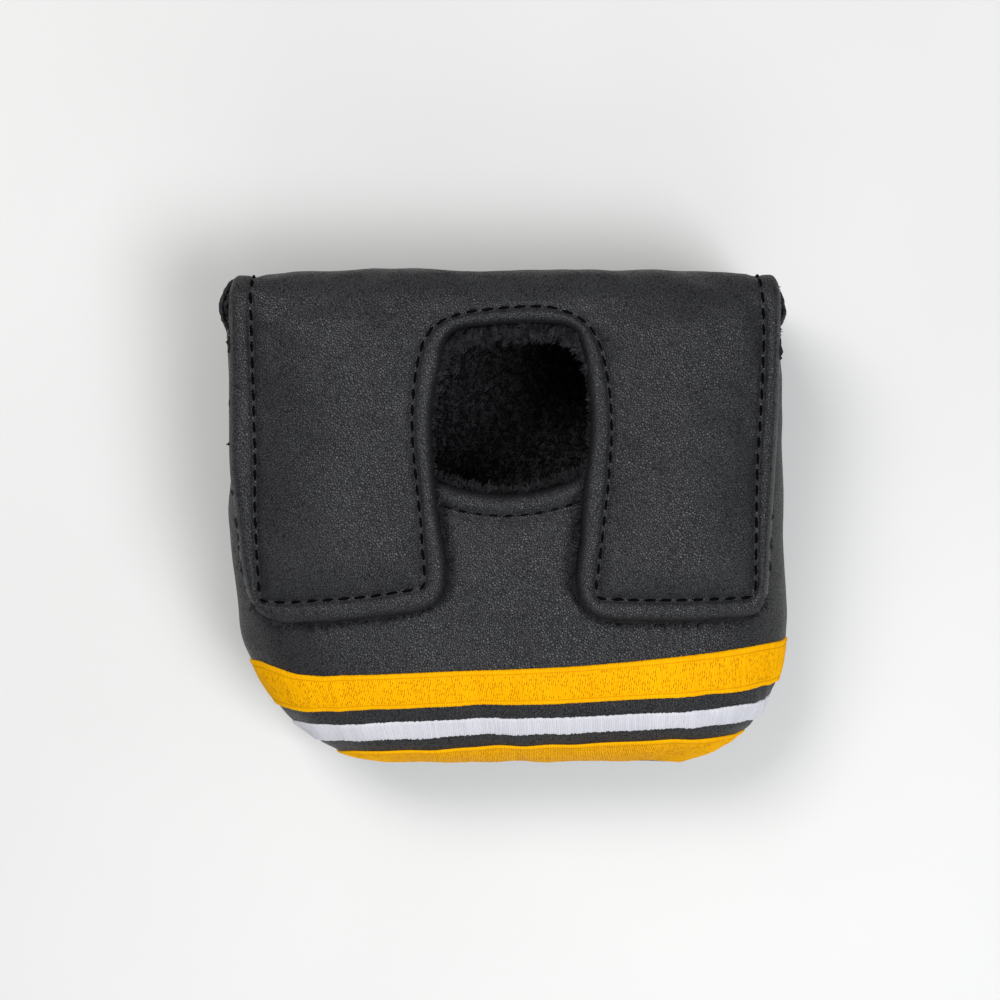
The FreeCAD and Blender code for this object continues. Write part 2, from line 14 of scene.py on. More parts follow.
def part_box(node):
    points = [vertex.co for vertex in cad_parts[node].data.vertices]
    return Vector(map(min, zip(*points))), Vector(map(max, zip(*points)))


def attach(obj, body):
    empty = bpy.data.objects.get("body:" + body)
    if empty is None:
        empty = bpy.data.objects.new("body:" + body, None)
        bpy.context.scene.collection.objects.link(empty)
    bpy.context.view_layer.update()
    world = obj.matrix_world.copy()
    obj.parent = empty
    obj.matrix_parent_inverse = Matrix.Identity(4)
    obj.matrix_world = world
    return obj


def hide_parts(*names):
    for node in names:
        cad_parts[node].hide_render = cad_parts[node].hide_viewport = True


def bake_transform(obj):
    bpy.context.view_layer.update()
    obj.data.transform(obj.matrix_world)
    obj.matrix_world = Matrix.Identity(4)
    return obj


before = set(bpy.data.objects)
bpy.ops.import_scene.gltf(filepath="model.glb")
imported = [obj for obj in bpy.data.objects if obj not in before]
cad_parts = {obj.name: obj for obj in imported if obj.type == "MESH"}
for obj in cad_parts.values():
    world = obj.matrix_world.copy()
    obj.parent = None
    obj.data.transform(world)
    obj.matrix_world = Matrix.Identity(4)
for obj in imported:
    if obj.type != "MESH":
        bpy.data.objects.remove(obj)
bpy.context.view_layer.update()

MM = 0.001
PI = math.pi

# ---------------------------------------------------------------------------
# Sizes
# ---------------------------------------------------------------------------


def frame_box(name):
    low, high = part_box(name)
    return [v / MM for v in low], [v / MM for v in high]


crown_low, crown_high = frame_box("crown_panel")
HALF_WIDTH = crown_high[0]
REAR_Y = crown_low[1]
FRONT_Y = crown_high[1]
TOP_Z = crown_high[2]
WALL_Y = frame_box("front_panel")[1][1]       # outside of the front wall
FLAP_Z = frame_box("flap_panel")[1][2]        # top of the closed flap

SEAM_Z = 21.4                                 # seam between sole and crown
CORNER = 36.0                                 # plan radius of the rear corners
CORNER_X = HALF_WIDTH - CORNER
CORNER_Y = REAR_Y + CORNER
SHOULDER_FRONT, SHOULDER_REAR = 13.0, 26.0    # radius of the top edge
FOOT_FRONT, FOOT_REAR = 9.0, 16.0             # radius of the bottom edge
RADIUS_RUN = 74.0                             # length over which the radii change
TURN = math.radians(2.8)                      # turn of the rear to the right

LIP_Y = 19.0                                  # front edge of the crown, beside its notch
NOTCH_X, NOTCH_Y, NOTCH_RADIUS = 1.45, 6.8, 41.0
NOTCH_BLEND = 1.3                             # softness where notch and lip meet
LIP_STITCH_BACK = 4.6
LIP_PITCH = 3.55
MOUTH_INSET = 13.0                            # mouth rim, inward from the plan outline

FOLD_RADIUS = 6.0                             # at stitch level
FOLD_Z = FLAP_Z - 1.5                         # stitch level on top
FOLD_START = WALL_Y - 1.0 - FOLD_RADIUS
FOLD_END = FOLD_START + FOLD_RADIUS * PI / 2
SHEET_END = 107.4                             # foot of the front wall on the flat sheet
SLOT_X = 1.5                                  # middle of the slot in the flap
SHEET_PITCH = 3.7                             # stitches along the flap and wall
THREAD_PITCH = 0.42                           # embroidery threads

# ---------------------------------------------------------------------------
# Numeric tools
# ---------------------------------------------------------------------------


def smooth(t):
    t = np.clip(t, 0.0, 1.0)
    return t * t * (3 - 2 * t)


def rise(v, start, span):
    """0 up to the start, growing to 1 over the span."""
    return smooth((v - start) / span)


def fall(v, start, span):
    """0 above the start, growing to 1 over the span below it."""
    return smooth((start - v) / span)


def bell(v, centre, width):
    return np.exp(-((v - centre) / width) ** 2)


def unit(v, least=1e-9):
    return v / np.maximum(np.linalg.norm(v, axis=-1, keepdims=True), least)


def waves(points, length, seed, count=22):
    """Smooth repeatable unevenness of about unit size, as a sum of plane waves."""
    rng = np.random.RandomState(seed)
    points = np.asarray(points, float)
    total = np.zeros(len(points))
    for _ in range(count):
        direction = rng.normal(size=points.shape[1])
        direction /= np.linalg.norm(direction)
        frequency = (2 * PI / length) * rng.uniform(0.55, 1.7)
        total += np.sin(points @ (direction * frequency) + rng.uniform(0, 2 * PI))
    return total / math.sqrt(count / 2.0)


def arc_lengths(line):
    steps = np.linalg.norm(np.diff(line, axis=0), axis=1)
    return np.concatenate([[0], np.cumsum(steps)])


def sample(line, known, wanted):
    """Columns of a line, known at some stations, read at the wanted ones."""
    return np.stack([np.interp(wanted, known, column) for column in line.T], axis=1)


def close(line):
    return np.vstack([line, line[:1]])


def resample(line, step, closed):
    line = close(line) if closed else line
    lengths = arc_lengths(line)
    count = max(int(round(lengths[-1] / step)), 3)
    wanted = np.linspace(0, lengths[-1], count + 1)
    return sample(line, lengths, wanted[:-1] if closed else wanted)


def spline(points, step, closed):
    """Centripetal Catmull-Rom curve through the points, resampled to even steps."""
    points = np.array(points, float)
    count = len(points)

    def gap(a, b):
        return max(np.linalg.norm(b - a), 1e-6) ** 0.5

    def between(t, t0, a, t1, b):
        return (t1 - t) / (t1 - t0) * a + (t - t0) / (t1 - t0) * b

    curve = []
    for i in range(count if closed else count - 1):
        b, c = points[i], points[(i + 1) % count]
        a = points[i - 1] if closed or i > 0 else b - (c - b) * 1e-3
        d = points[(i + 2) % count] if closed or i + 2 < count else c + (c - b) * 1e-3
        t0 = 0.0
        t1 = t0 + gap(a, b)
        t2 = t1 + gap(b, c)
        t3 = t2 + gap(c, d)
        for t in np.linspace(t1, t2, 24, endpoint=False):
            ab = between(t, t0, a, t1, b)
            bc = between(t, t1, b, t2, c)
            cd = between(t, t2, c, t3, d)
            curve.append(between(t, t1, between(t, t0, ab, t2, bc),
                                 t2, between(t, t1, bc, t3, cd)))
    if not closed:
        curve.append(points[-1])
    return resample(np.array(curve), step, closed)


def left_normals(line, closed):
    if closed:
        along = np.roll(line, -1, 0) - np.roll(line, 1, 0)
    else:
        along = np.gradient(line, axis=0)
    along = unit(along)
    return np.column_stack([-along[:, 1], along[:, 0]])


def soften(values, rounds):
    """Even out values that run round a closed loop."""
    for _ in range(rounds):
        values = 0.5 * values + 0.25 * (np.roll(values, 1, 0) + np.roll(values, -1, 0))
    return values


def path_distance(points, line, closed=True):
    """Distance from each point to a line, and the arc length of the nearest place on it."""
    line = close(line) if closed else line
    start = line[:-1]
    along = line[1:] - start
    square = np.maximum((along ** 2).sum(1), 1e-12)
    lengths = np.concatenate([[0], np.cumsum(np.sqrt(square))])
    best = np.empty(len(points))
    arc = np.empty(len(points))
    batch = 4000
    for i in range(0, len(points), batch):
        away = points[i:i + batch][:, None, :] - start[None]
        t = np.clip((away * along[None]).sum(2) / square[None], 0, 1)
        distance = np.sqrt(((away - t[..., None] * along[None]) ** 2).sum(2))
        nearest = distance.argmin(1)
        row = np.arange(len(distance))
        best[i:i + batch] = distance[row, nearest]
        arc[i:i + batch] = lengths[nearest] + t[row, nearest] * np.sqrt(square[nearest])
    return best, arc


def inside(points, outline):
    """Even-odd test for points against a closed outline."""
    x, y = points[:, 0], points[:, 1]
    result = np.zeros(len(points), bool)
    for (x0, y0), (x1, y1) in zip(outline, np.roll(outline, -1, 0)):
        if (y0 > y1) == (y0 < y1):
            continue
        result ^= ((y0 > y) != (y1 > y)) & (x < (x1 - x0) * (y - y0) / (y1 - y0) + x0)
    return result


def point_tree(points):
    tree = kdtree.KDTree(len(points))
    for i, (x, y) in enumerate(points):
        tree.insert((x, y, 0), i)
    tree.balance()
    return tree


def fill(outline, lines, step, margin=0.55):
    """Triangles over a closed outline, with the given lines of points kept and an even
    scatter between them, no nearer to them than the margin times the step."""
    points = [tuple(p) for p in outline]
    edges = [(i, (i + 1) % len(outline)) for i in range(len(outline))]
    for line in lines:
        points += [tuple(p) for p in line]
    tree = point_tree(points)
    low, high = outline.min(0), outline.max(0)
    grid = []
    for j, y in enumerate(np.arange(low[1], high[1], step * math.sqrt(3) / 2)):
        for x in np.arange(low[0] + (step / 2 if j % 2 else 0), high[0], step):
            grid.append((x, y))
    grid = np.array(grid)
    grid = grid[inside(grid, outline)]
    grid = grid + np.random.RandomState(5).uniform(-0.12, 0.12, grid.shape) * step
    for x, y in grid:
        if tree.find((x, y, 0))[2] > margin * step:
            points.append((x, y))
    result = delaunay_2d_cdt([Vector(p) for p in points], edges, [], 1, 1e-5)
    return np.array([(v.x, v.y) for v in result[0]]), [tuple(f) for f in result[2]]


def grid_faces(rows, columns):
    faces = []
    for i in range(rows - 1):
        for j in range(columns - 1):
            a, b = i * columns + j, (i + 1) * columns + j
            faces.append((a, b, b + 1, a + 1))
    return faces


def grid_mesh(rings):
    """Points and faces of a surface through rings of equal length."""
    grid = np.stack(rings, axis=1)
    return grid.reshape(-1, 3), grid_faces(*grid.shape[:2])


def join(*parts):
    """One set of points and faces out of several."""
    faces = []
    base = 0
    for points, part_faces in parts:
        faces += [tuple(base + i for i in face) for face in part_faces]
        base += len(points)
    return np.vstack([points for points, _ in parts]), faces


def outward_normals(points, faces):
    """Vertex normals that point out of the pouch."""
    normals = np.zeros_like(points)
    by_size = {}
    for face in faces:
        by_size.setdefault(len(face), []).append(face)
    for group in by_size.values():
        group = np.array(group)
        a, b, c = (points[group[:, k]] for k in range(3))
        cross = np.cross(b - a, c - a)
        if group.shape[1] == 4:
            cross = cross + np.cross(c - a, points[group[:, 3]] - a)
        for k in range(group.shape[1]):
            np.add.at(normals, group[:, k], cross)
    normals = unit(normals, least=1e-12)
    middle = np.array([0.0, -4.0, 25.0])
    return -normals if ((points - middle) * normals).sum(1).mean() < 0 else normals


# ---------------------------------------------------------------------------
# Objects
# ---------------------------------------------------------------------------
def link(ob):
    bpy.context.scene.collection.objects.link(ob)
    return ob


def shade_smooth(mesh):
    mesh.polygons.foreach_set("use_smooth", [True] * len(mesh.polygons))


def make(name, points, faces, material, uv=None, weld=0.0):
    """Smooth mesh object from points in mm, welded within a distance in mm."""
    mesh = bpy.data.meshes.new(name)
    mesh.from_pydata((np.asarray(points, float) * MM).tolist(), [],
                     [tuple(int(i) for i in face) for face in faces])
    mesh.update()
    if uv is not None:
        layer = mesh.uv_layers.new(name="UVMap")
        index = np.empty(len(mesh.loops), int)
        mesh.loops.foreach_get("vertex_index", index)
        layer.data.foreach_set("uv", np.asarray(uv, np.float32)[index].ravel())
    shade_smooth(mesh)
    mesh.materials.append(material)
    ob = link(bpy.data.objects.new(name, mesh))
    if weld:
        bm = bmesh.new()
        bm.from_mesh(mesh)
        bmesh.ops.remove_doubles(bm, verts=bm.verts, dist=weld * MM)
        bmesh.ops.recalc_face_normals(bm, faces=bm.faces)
        bm.to_mesh(mesh)
        bm.free()
        shade_smooth(mesh)
    return ob


def face_out(ob, centre=(0.0, -0.004, 0.025)):
    """Turn the faces of an open shell so that they look away from a point, in metres."""
    polygons = ob.data.polygons
    centres = np.empty(len(polygons) * 3)
    normals = np.empty(len(polygons) * 3)
    polygons.foreach_get("center", centres)
    polygons.foreach_get("normal", normals)
    away = centres.reshape(-1, 3) - np.array(centre)
    if (away * normals.reshape(-1, 3)).sum() < 0:
        ob.data.flip_normals()


def thicken(ob, thickness, offset=-1.0):
    """Offset -1 thickens inward from the face side, 1 outward, 0 both ways."""
    modifier = ob.modifiers.new("thickness", "SOLIDIFY")
    modifier.thickness = thickness * MM
    modifier.offset = offset


def register(ob, slot, body, *nodes):
    """Give a piece the body it moves with and hide the frame nodes it replaces; its slot is not
    used.
    A piece of the body "fold" is not attached; its transform is baked into its points."""
    if nodes:
        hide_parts(*nodes)
    if body == "fold":
        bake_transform(ob)
    elif body:
        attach(ob, body)


# ---------------------------------------------------------------------------
# Materials, all procedural. Object coordinates are in metres.
# ---------------------------------------------------------------------------
class Shader:
    """The node tree of a material round one Principled shader."""

    def __init__(self, name):
        self.material = bpy.data.materials.new(name)
        self.material.use_nodes = True
        self.tree = self.material.node_tree
        self.tree.nodes.clear()
        output = self.node("ShaderNodeOutputMaterial")
        self.principled = self.node("ShaderNodeBsdfPrincipled")
        self.feed(output.inputs["Surface"], self.principled.outputs["BSDF"])
        coordinates = self.node("ShaderNodeTexCoord").outputs
        self.object = coordinates["Object"]
        self.uv = coordinates["UV"]

    def feed(self, socket, value):
        """Set a socket to a number or tuple, or link another socket to it."""
        if isinstance(value, tuple) and socket.type == "RGBA":
            value = (*value, 1.0)
        if isinstance(value, (int, float, tuple)):
            socket.default_value = value
        else:
            self.tree.links.new(value, socket)

    def node(self, kind, inputs=(), **settings):
        node = self.tree.nodes.new(kind)
        for key, value in settings.items():
            setattr(node, key, value)
        for key, value in dict(inputs).items():
            self.feed(node.inputs[key], value)
        return node

    def surface(self, inputs):
        for key, value in inputs.items():
            self.feed(self.principled.inputs[key], value)
        return self.material

    def noise(self, scale, detail=3.0, roughness=0.55, vector=None, output="Fac"):
        vector = self.object if vector is None else vector
        inputs = {"Scale": scale, "Detail": detail, "Roughness": roughness, "Vector": vector}
        return self.node("ShaderNodeTexNoise", inputs).outputs[output]

    def voronoi(self, scale, feature="F1", vector=None):
        vector = self.object if vector is None else vector
        inputs = {"Scale": scale, "Vector": vector}
        return self.node("ShaderNodeTexVoronoi", inputs, feature=feature).outputs["Distance"]

    def white_noise(self, dimensions, socket, value):
        return self.node("ShaderNodeTexWhiteNoise", {socket: value},
                         noise_dimensions=dimensions).outputs

    def ramp(self, factor, *stops):
        node = self.node("ShaderNodeValToRGB")
        for element, (position, color) in zip(node.color_ramp.elements, stops):
            element.position = position
            element.color = (*color, 1.0)
        self.feed(node.inputs["Fac"], factor)
        return node.outputs["Color"]

    def math(self, operation, *values, clamp=False):
        return self.node("ShaderNodeMath", enumerate(values),
                         operation=operation, use_clamp=clamp).outputs[0]

    def add(self, a, b):
        return self.math("ADD", a, b)

    def subtract(self, a, b):
        return self.math("SUBTRACT", a, b)

    def multiply(self, a, b):
        return self.math("MULTIPLY", a, b)

    def weighted(self, *parts):
        """Sum of (value, weight) pairs."""
        total = None
        for value, weight in parts:
            term = self.multiply(value, weight)
            total = term if total is None else self.add(total, term)
        return total

    def limit(self, value):
        """Hold a value between 0 and 1."""
        return self.math("MINIMUM", self.math("MAXIMUM", value, 0.0), 1.0)

    def vector_math(self, operation, *values):
        return self.node("ShaderNodeVectorMath", enumerate(values),
                         operation=operation).outputs[0]

    def separate(self, vector):
        return self.node("ShaderNodeSeparateXYZ", {0: vector}).outputs

    def remap(self, value, given=(0.0, 1.0), to=(0.0, 1.0)):
        inputs = {"From Min": given[0], "From Max": given[1],
                  "To Min": to[0], "To Max": to[1], "Value": value}
        return self.node("ShaderNodeMapRange", inputs).outputs[0]

    def mix(self, factor, a, b):
        # sockets 6 and 7 are the colour pair of the mix node
        return self.node("ShaderNodeMix", {0: factor, 6: a, 7: b}, data_type="RGBA").outputs[2]

    def bump(self, height, strength, distance, normal=None):
        inputs = {"Strength": strength, "Distance": distance, "Height": height}
        if normal is not None:
            inputs["Normal"] = normal
        return self.node("ShaderNodeBump", inputs).outputs["Normal"]


def leather_material(name, dark=(0.0120, 0.0123, 0.0142), light=(0.0205, 0.0209, 0.0235),
                     grain=1800.0):
    """Black coated leather: small irregular pebbles with fine creases between."""
    shader = Shader(name)
    warp = shader.noise(scale=700.0, detail=2.0, roughness=0.5, output="Color")
    warped = shader.vector_math("MULTIPLY_ADD", warp, (0.0006, 0.0006, 0.0006), shader.object)
    cell = shader.voronoi(scale=grain, feature="DISTANCE_TO_EDGE", vector=warped)
    pebble = shader.remap(cell, given=(0.0, 0.32))
    pebble = shader.math("POWER", shader.math("MAXIMUM", pebble, 0.0), 0.55, clamp=True)
    large = shader.voronoi(scale=grain * 0.38, feature="DISTANCE_TO_EDGE", vector=warped)
    crease = shader.math("POWER", shader.remap(large, given=(0.0, 0.16)), 0.5, clamp=True)
    fine = shader.noise(scale=9000.0, detail=3.0)
    soft = shader.noise(scale=230.0, detail=4.0, roughness=0.6)
    patch = shader.noise(scale=38.0, detail=3.0, roughness=0.6)
    height = shader.weighted((pebble, 0.62), (crease, 0.30), (fine, 0.10))
    swell = shader.bump(soft, strength=0.30, distance=0.0006)
    normal = shader.bump(height, strength=0.85, distance=0.00017, normal=swell)
    color = shader.mix(shader.remap(patch, given=(0.3, 0.7)), dark, light)
    # the creases between pebbles are darkened towards black in the colour: painted shade in the
    # grain
    groove = shader.math("MULTIPLY", shader.subtract(1.0, pebble), 0.85, clamp=True)
    color = shader.mix(groove, color, (0.0012, 0.0012, 0.0015))
    return shader.surface({
        "Base Color": color,
        "Roughness": shader.add(shader.remap(pebble, to=(0.60, 0.36)),
                                shader.multiply(soft, 0.08)),
        "Specular IOR Level": shader.remap(pebble, to=(0.05, 0.50)),
        "Normal": normal})


def plush_material(name, dark=(0.0018, 0.0018, 0.0022), light=(0.012, 0.012, 0.0135)):
    shader = Shader(name)
    fine = shader.noise(scale=1900.0, detail=4.0, roughness=0.7)
    broad = shader.noise(scale=430.0, detail=3.0, roughness=0.6)
    tuft = shader.voronoi(scale=900.0)
    tone = shader.weighted((fine, 0.35), (broad, 0.65))
    return shader.surface({
        "Base Color": shader.ramp(tone, (0.40, dark), (0.63, light)),
        "Roughness": 0.93,
        "Specular IOR Level": 0.2,
        "Sheen Weight": 0.10,
        "Sheen Roughness": 0.35,
        "Sheen Tint": (0.40, 0.40, 0.43),
        "Normal": shader.bump(shader.add(fine, shader.multiply(tuft, 0.8)),
                              strength=0.8, distance=0.0006)})


def sewing_thread_material(name):
    shader = Shader(name)
    fibre = shader.noise(scale=5200.0, detail=2.0, roughness=0.5)
    broad = shader.noise(scale=700.0, detail=2.0)
    tone = shader.weighted((fibre, 0.6), (broad, 0.4))
    return shader.surface({
        "Base Color": shader.ramp(tone, (0.30, (0.0004, 0.0004, 0.0005)),
                                  (0.72, (0.0016, 0.0016, 0.0019))),
        "Normal": shader.bump(fibre, strength=0.4, distance=0.00006),
        "Roughness": 0.75,
        "Specular IOR Level": 0.04,
        "Sheen Roughness": 0.4})


def embroidery_material(name, dark, light, shade, roughness, specular, width):
    """Laid thread. In its UV map u runs along the band in mm and v across it. A width
    above zero draws the lines that part the satin edges from the fill."""
    needle_spacing = 0.95                # mm along a thread
    needle_half_size = (0.115, 0.42)     # mm, across and along the thread
    shader = Shader(name)
    uv = shader.separate(shader.uv)
    along, across = uv["X"], uv["Y"]
    thread = shader.math("FLOOR", shader.math("DIVIDE", along, THREAD_PITCH))
    tint = shader.white_noise("1D", "W", thread)["Value"]
    # fibres are very fine lines that run along each thread
    stretched = shader.vector_math("MULTIPLY", shader.uv, (14.0, 0.9, 1.0))
    fibre = shader.noise(scale=1.0, detail=2.0, roughness=0.5, vector=stretched)
    broad = shader.noise(scale=90.0, detail=3.0, roughness=0.6)
    tone = shader.weighted((fibre, 0.62), (tint, 0.14), (broad, 0.22))
    color = shader.ramp(tone, (0.28, dark), (0.66, light))
    # shade between neighbouring threads
    phase = shader.math("FRACT", shader.math("DIVIDE", along, THREAD_PITCH))
    gap = shader.math("ABSOLUTE", shader.subtract(phase, 0.5))
    gap = shader.remap(gap, given=(0.28, 0.50), to=(0.0, 0.55))
    # needle points: slim ovals that sit in the gap between two threads
    shifted = shader.add(shader.math("DIVIDE", along, THREAD_PITCH), 0.5)
    column = shader.math("FLOOR", shifted)
    stagger = shader.white_noise("1D", "W", column)["Value"]
    row = shader.add(shader.math("DIVIDE", across, needle_spacing),
                     shader.multiply(stagger, 17.3))
    offset_x = shader.multiply(shader.subtract(shader.math("FRACT", shifted), 0.5),
                               THREAD_PITCH / needle_half_size[0])
    offset_y = shader.multiply(shader.subtract(shader.math("FRACT", row), 0.5),
                               needle_spacing / needle_half_size[1])
    cell = shader.node("ShaderNodeCombineXYZ", {"X": column, "Y": shader.math("FLOOR", row)})
    pick = shader.white_noise("2D", "Vector", cell.outputs[0])
    loose = shader.separate(pick["Color"])
    offset_x = shader.add(offset_x, shader.multiply(shader.subtract(loose["Y"], 0.5), 0.9))
    offset_y = shader.add(offset_y, shader.multiply(shader.subtract(loose["Z"], 0.5), 1.3))
    far = shader.add(shader.multiply(offset_x, offset_x), shader.multiply(offset_y, offset_y))
    dot = shader.remap(far, given=(0.30, 1.25), to=(1.0, 0.0))
    dot = shader.multiply(dot, shader.remap(pick["Value"], given=(0.30, 0.62)))
    # needle points keep to the fill, inside the line that bounds it
    edge = shader.math("MINIMUM", across, shader.subtract(width, across))
    core = shader.remap(edge, given=(1.1, 1.5))
    line = shader.remap(shader.math("ABSOLUTE", shader.subtract(edge, 1.15)),
                        given=(0.0, 0.22), to=(0.55, 0.0))
    core = shader.limit(core)
    dot = shader.multiply(shader.limit(dot), core)
    # needle points and the line round the fill are darkened to the same shade colour as the gaps:
    # painted shade in their hollows
    amount = shader.math("MAXIMUM", shader.multiply(dot, 0.92),
                         shader.math("MAXIMUM", gap, line), clamp=True)
    return shader.surface({
        "Base Color": shader.mix(amount, color, shade),
        "Normal": shader.bump(fibre, strength=0.5, distance=0.00005),
        "Roughness": roughness,
        "Specular IOR Level": specular,
        "Sheen Roughness": 0.4})


def foam_material(name):
    shader = Shader(name)
    cell = shader.voronoi(scale=1400.0)
    broad = shader.noise(scale=300.0, detail=4.0)
    tone = shader.weighted((cell, 0.7), (broad, 0.3))
    return shader.surface({
        "Base Color": shader.ramp(tone, (0.15, (0.03, 0.03, 0.032)), (0.7, (0.12, 0.12, 0.125))),
        "Roughness": 0.95,
        "Normal": shader.bump(cell, strength=0.7, distance=0.0004)})


def nickel_material(name):
    shader = Shader(name)
    stretched = shader.vector_math("MULTIPLY", shader.object, (1.0, 30.0, 1.0))
    brushed = shader.noise(scale=400.0, detail=4.0, roughness=0.7, vector=stretched)
    return shader.surface({
        "Base Color": shader.ramp(brushed, (0.3, (0.42, 0.42, 0.43)), (0.7, (0.66, 0.66, 0.67))),
        "Metallic": 1.0,
        "Roughness": shader.remap(brushed, given=(0.2, 0.8), to=(0.22, 0.40)),
        "Normal": shader.bump(brushed, strength=0.15, distance=0.00005)})


LEATHER = leather_material("black_leather")
SOLE_LEATHER = leather_material("black_leather_sole", dark=(0.0115, 0.0118, 0.0135),
                                light=(0.0195, 0.0199, 0.0220), grain=1750.0)
# a lighter copy of the black leather: painted light for the corner gussets, which sit in shade
# beside the flap
PAINTED_LIGHT_LEATHER = leather_material("black_leather_painted_light", dark=(0.0190, 0.0194, 0.0220),
                                light=(0.0320, 0.0326, 0.0360))
PLUSH = plush_material("black_plush")
THREAD = sewing_thread_material("black_thread")
FOAM = foam_material("grey_foam")
NICKEL = nickel_material("magnet_nickel")

# One material is made for each band, as the shading depends on its width
EMBROIDERY = {
    "gold_thread": dict(dark=(0.71, 0.310, 0.0002), light=(0.87, 0.450, 0.0004),
                        shade=(0.29, 0.080, 0.0), roughness=0.58, specular=0.03),
    "white_thread": dict(dark=(0.45, 0.45, 0.49), light=(0.63, 0.63, 0.67),
                         shade=(0.34, 0.34, 0.39), roughness=0.5, specular=0.12),
}


# ---------------------------------------------------------------------------
# The pouch surface. In plan it is a D with rounded rear corners; its shoulders
# roll over more and more towards the rear. It is laid out straight, then skewed.
# ---------------------------------------------------------------------------
def skew(points):
    """Lean of the filled pouch: its rear is pushed to the right, its lip is tilted and
    its front is drawn in a little."""
    points = np.asarray(points, float)
    x, y = points[:, 0], points[:, 1]
    moved = points.copy()
    turn = TURN * fall(y, start=44.0, span=58.0)
    tilt = fall(y, start=44.0, span=34.0) * (1 - 0.97 * fall(y, start=5.0, span=44.0))
    moved[:, 0] = (x * (1 - 0.017 * rise(y, start=4.0, span=16.0)) + (20.0 - y) * turn
                   + 1.6 * fall(y, start=-20.0, span=34.0))
    moved[:, 1] = y + x * TURN * tilt
    return moved


def unskew(points):
    straight = np.array(points, float)
    for _ in range(4):
        straight = straight + (points - skew(straight))
    return straight


def shoulder_radius(y):
    return SHOULDER_FRONT + (SHOULDER_REAR - SHOULDER_FRONT) * fall(y, FRONT_Y, RADIUS_RUN)


def foot_radius(y):
    return FOOT_FRONT + (FOOT_REAR - FOOT_FRONT) * fall(y, FRONT_Y, RADIUS_RUN)


def plan_outline(step):
    """Plan of the pouch from front left round the rear to front right, open at the
    front, with its outward normals."""
    side = FRONT_Y - CORNER_Y
    arc = CORNER * PI / 2
    rear = 2 * CORNER_X
    total = 2 * side + 2 * arc + rear
    places, normals = [], []
    for s in np.linspace(0, total, int(round(total / step)) + 1):
        if s <= side:
            place, normal = (-HALF_WIDTH, FRONT_Y - s), (-1, 0)
        elif s <= side + arc:
            angle = (s - side) / CORNER
            normal = (-math.cos(angle), -math.sin(angle))
            place = (-CORNER_X + CORNER * normal[0], CORNER_Y + CORNER * normal[1])
        elif s <= side + arc + rear:
            place, normal = (-CORNER_X + (s - side - arc), REAR_Y), (0, -1)
        elif s <= side + 2 * arc + rear:
            angle = (s - side - arc - rear) / CORNER
            normal = (math.sin(angle), -math.cos(angle))
            place = (CORNER_X + CORNER * normal[0], CORNER_Y + CORNER * normal[1])
        else:
            place, normal = (HALF_WIDTH, CORNER_Y + (s - side - 2 * arc - rear)), (1, 0)
        places.append(place)
        normals.append(normal)
    return np.array(places, float), np.array(normals, float)


def rim_distance(x, y):
    """Distance inward from the plan outline."""
    x = np.abs(x)
    past_x, past_y = x - CORNER_X, CORNER_Y - y
    corner = CORNER - np.hypot(np.maximum(past_x, 0), np.maximum(past_y, 0))
    return np.where(past_y > 0, np.where(past_x > 0, corner, y - REAR_Y), HALF_WIDTH - x)


def crown_height(x, y, inset=0.0):
    """Upper surface of the pouch as a height over plan, with a slow swell of its top."""
    radius = shoulder_radius(y) - inset
    inward = rim_distance(x, y) - inset
    run = np.clip(inward, 0, radius)
    z = TOP_Z - inset - radius + np.sqrt(np.maximum(radius * radius - (radius - run) ** 2, 0))
    past_shoulder = np.maximum(rim_distance(x, y) - shoulder_radius(y), 0)
    dome = 1 - bell(past_shoulder, centre=0.0, width=13.0)
    return np.where(inward >= radius, TOP_Z - inset, z) + dome


def relief(points):
    """Unevenness of stuffed leather along its normal: slow swells, a fuller right rear
    corner and, towards both rear corners, faint drag creases."""
    x, y = points[:, 0], points[:, 1]
    height = 0.30 * waves(points, length=42.0, seed=11) + 0.12 * waves(points, 15.0, seed=12)
    height += 0.92 * bell(x, centre=45.0, width=9.5) * bell(y, centre=-54.5, width=6.0)
    corner = bell(np.abs(x), centre=50.0, width=16.0) * bell(y, centre=-42.0, width=16.0)
    angle = np.arctan2(y + 24, np.abs(x) - 34)
    drag = np.sin(angle * 21.0 + 2.0 * waves(points, length=30.0, seed=13))
    return height + 0.16 * corner * drag


def with_relief(points, faces, flat_base=False):
    """Points moved by the relief, and the normals they moved along."""
    normals = outward_normals(points, faces)
    height = relief(points)
    if flat_base:
        height = height * rise(points[:, 2], start=0.5, span=8.0)
    return points + normals * height[:, None], normals


def lip_curve(back, step):
    """Front edge of the crown in plan, moved back by a distance, left to right."""
    x = np.linspace(-53.5, 53.5, 900)
    notch = NOTCH_Y + NOTCH_RADIUS - np.sqrt(
        np.maximum(NOTCH_RADIUS ** 2 - (x - NOTCH_X) ** 2, 1.0))
    y = -NOTCH_BLEND * np.log(np.exp(-LIP_Y / NOTCH_BLEND) + np.exp(-notch / NOTCH_BLEND))
    y = np.where(np.abs(x - NOTCH_X) > NOTCH_RADIUS - 1, LIP_Y, y)
    y = y + 2.4 * rise(np.abs(x), start=44.0, span=12.0)
    edge = np.column_stack([x, y])
    return resample(edge - left_normals(edge, False) * back, step, False)


def shoulder_end(y):
    """Degrees that the leather goes up its shoulder: all the way behind the lip, and to
    the straight rim of the mouth in front of it."""
    rim = np.degrees(np.arccos(np.clip(1 - MOUTH_INSET / shoulder_radius(y), -1, 1)))
    front = rise(y - LIP_Y, start=1.0, span=4.0)
    return 90.0 * (1 - front) + rim * front


def seam_dip(z):
    groove = -0.85 * bell(z, centre=SEAM_Z, width=0.95)
    return groove + 0.22 * bell(np.abs(z - SEAM_Z), centre=2.6, width=1.6)


def ring(plan, normals, inward, z):
    """Plan outline moved inward and set at a height."""
    moved = plan - normals * np.reshape(inward, (-1, 1))
    return np.column_stack([moved, np.zeros(len(plan)) + z])


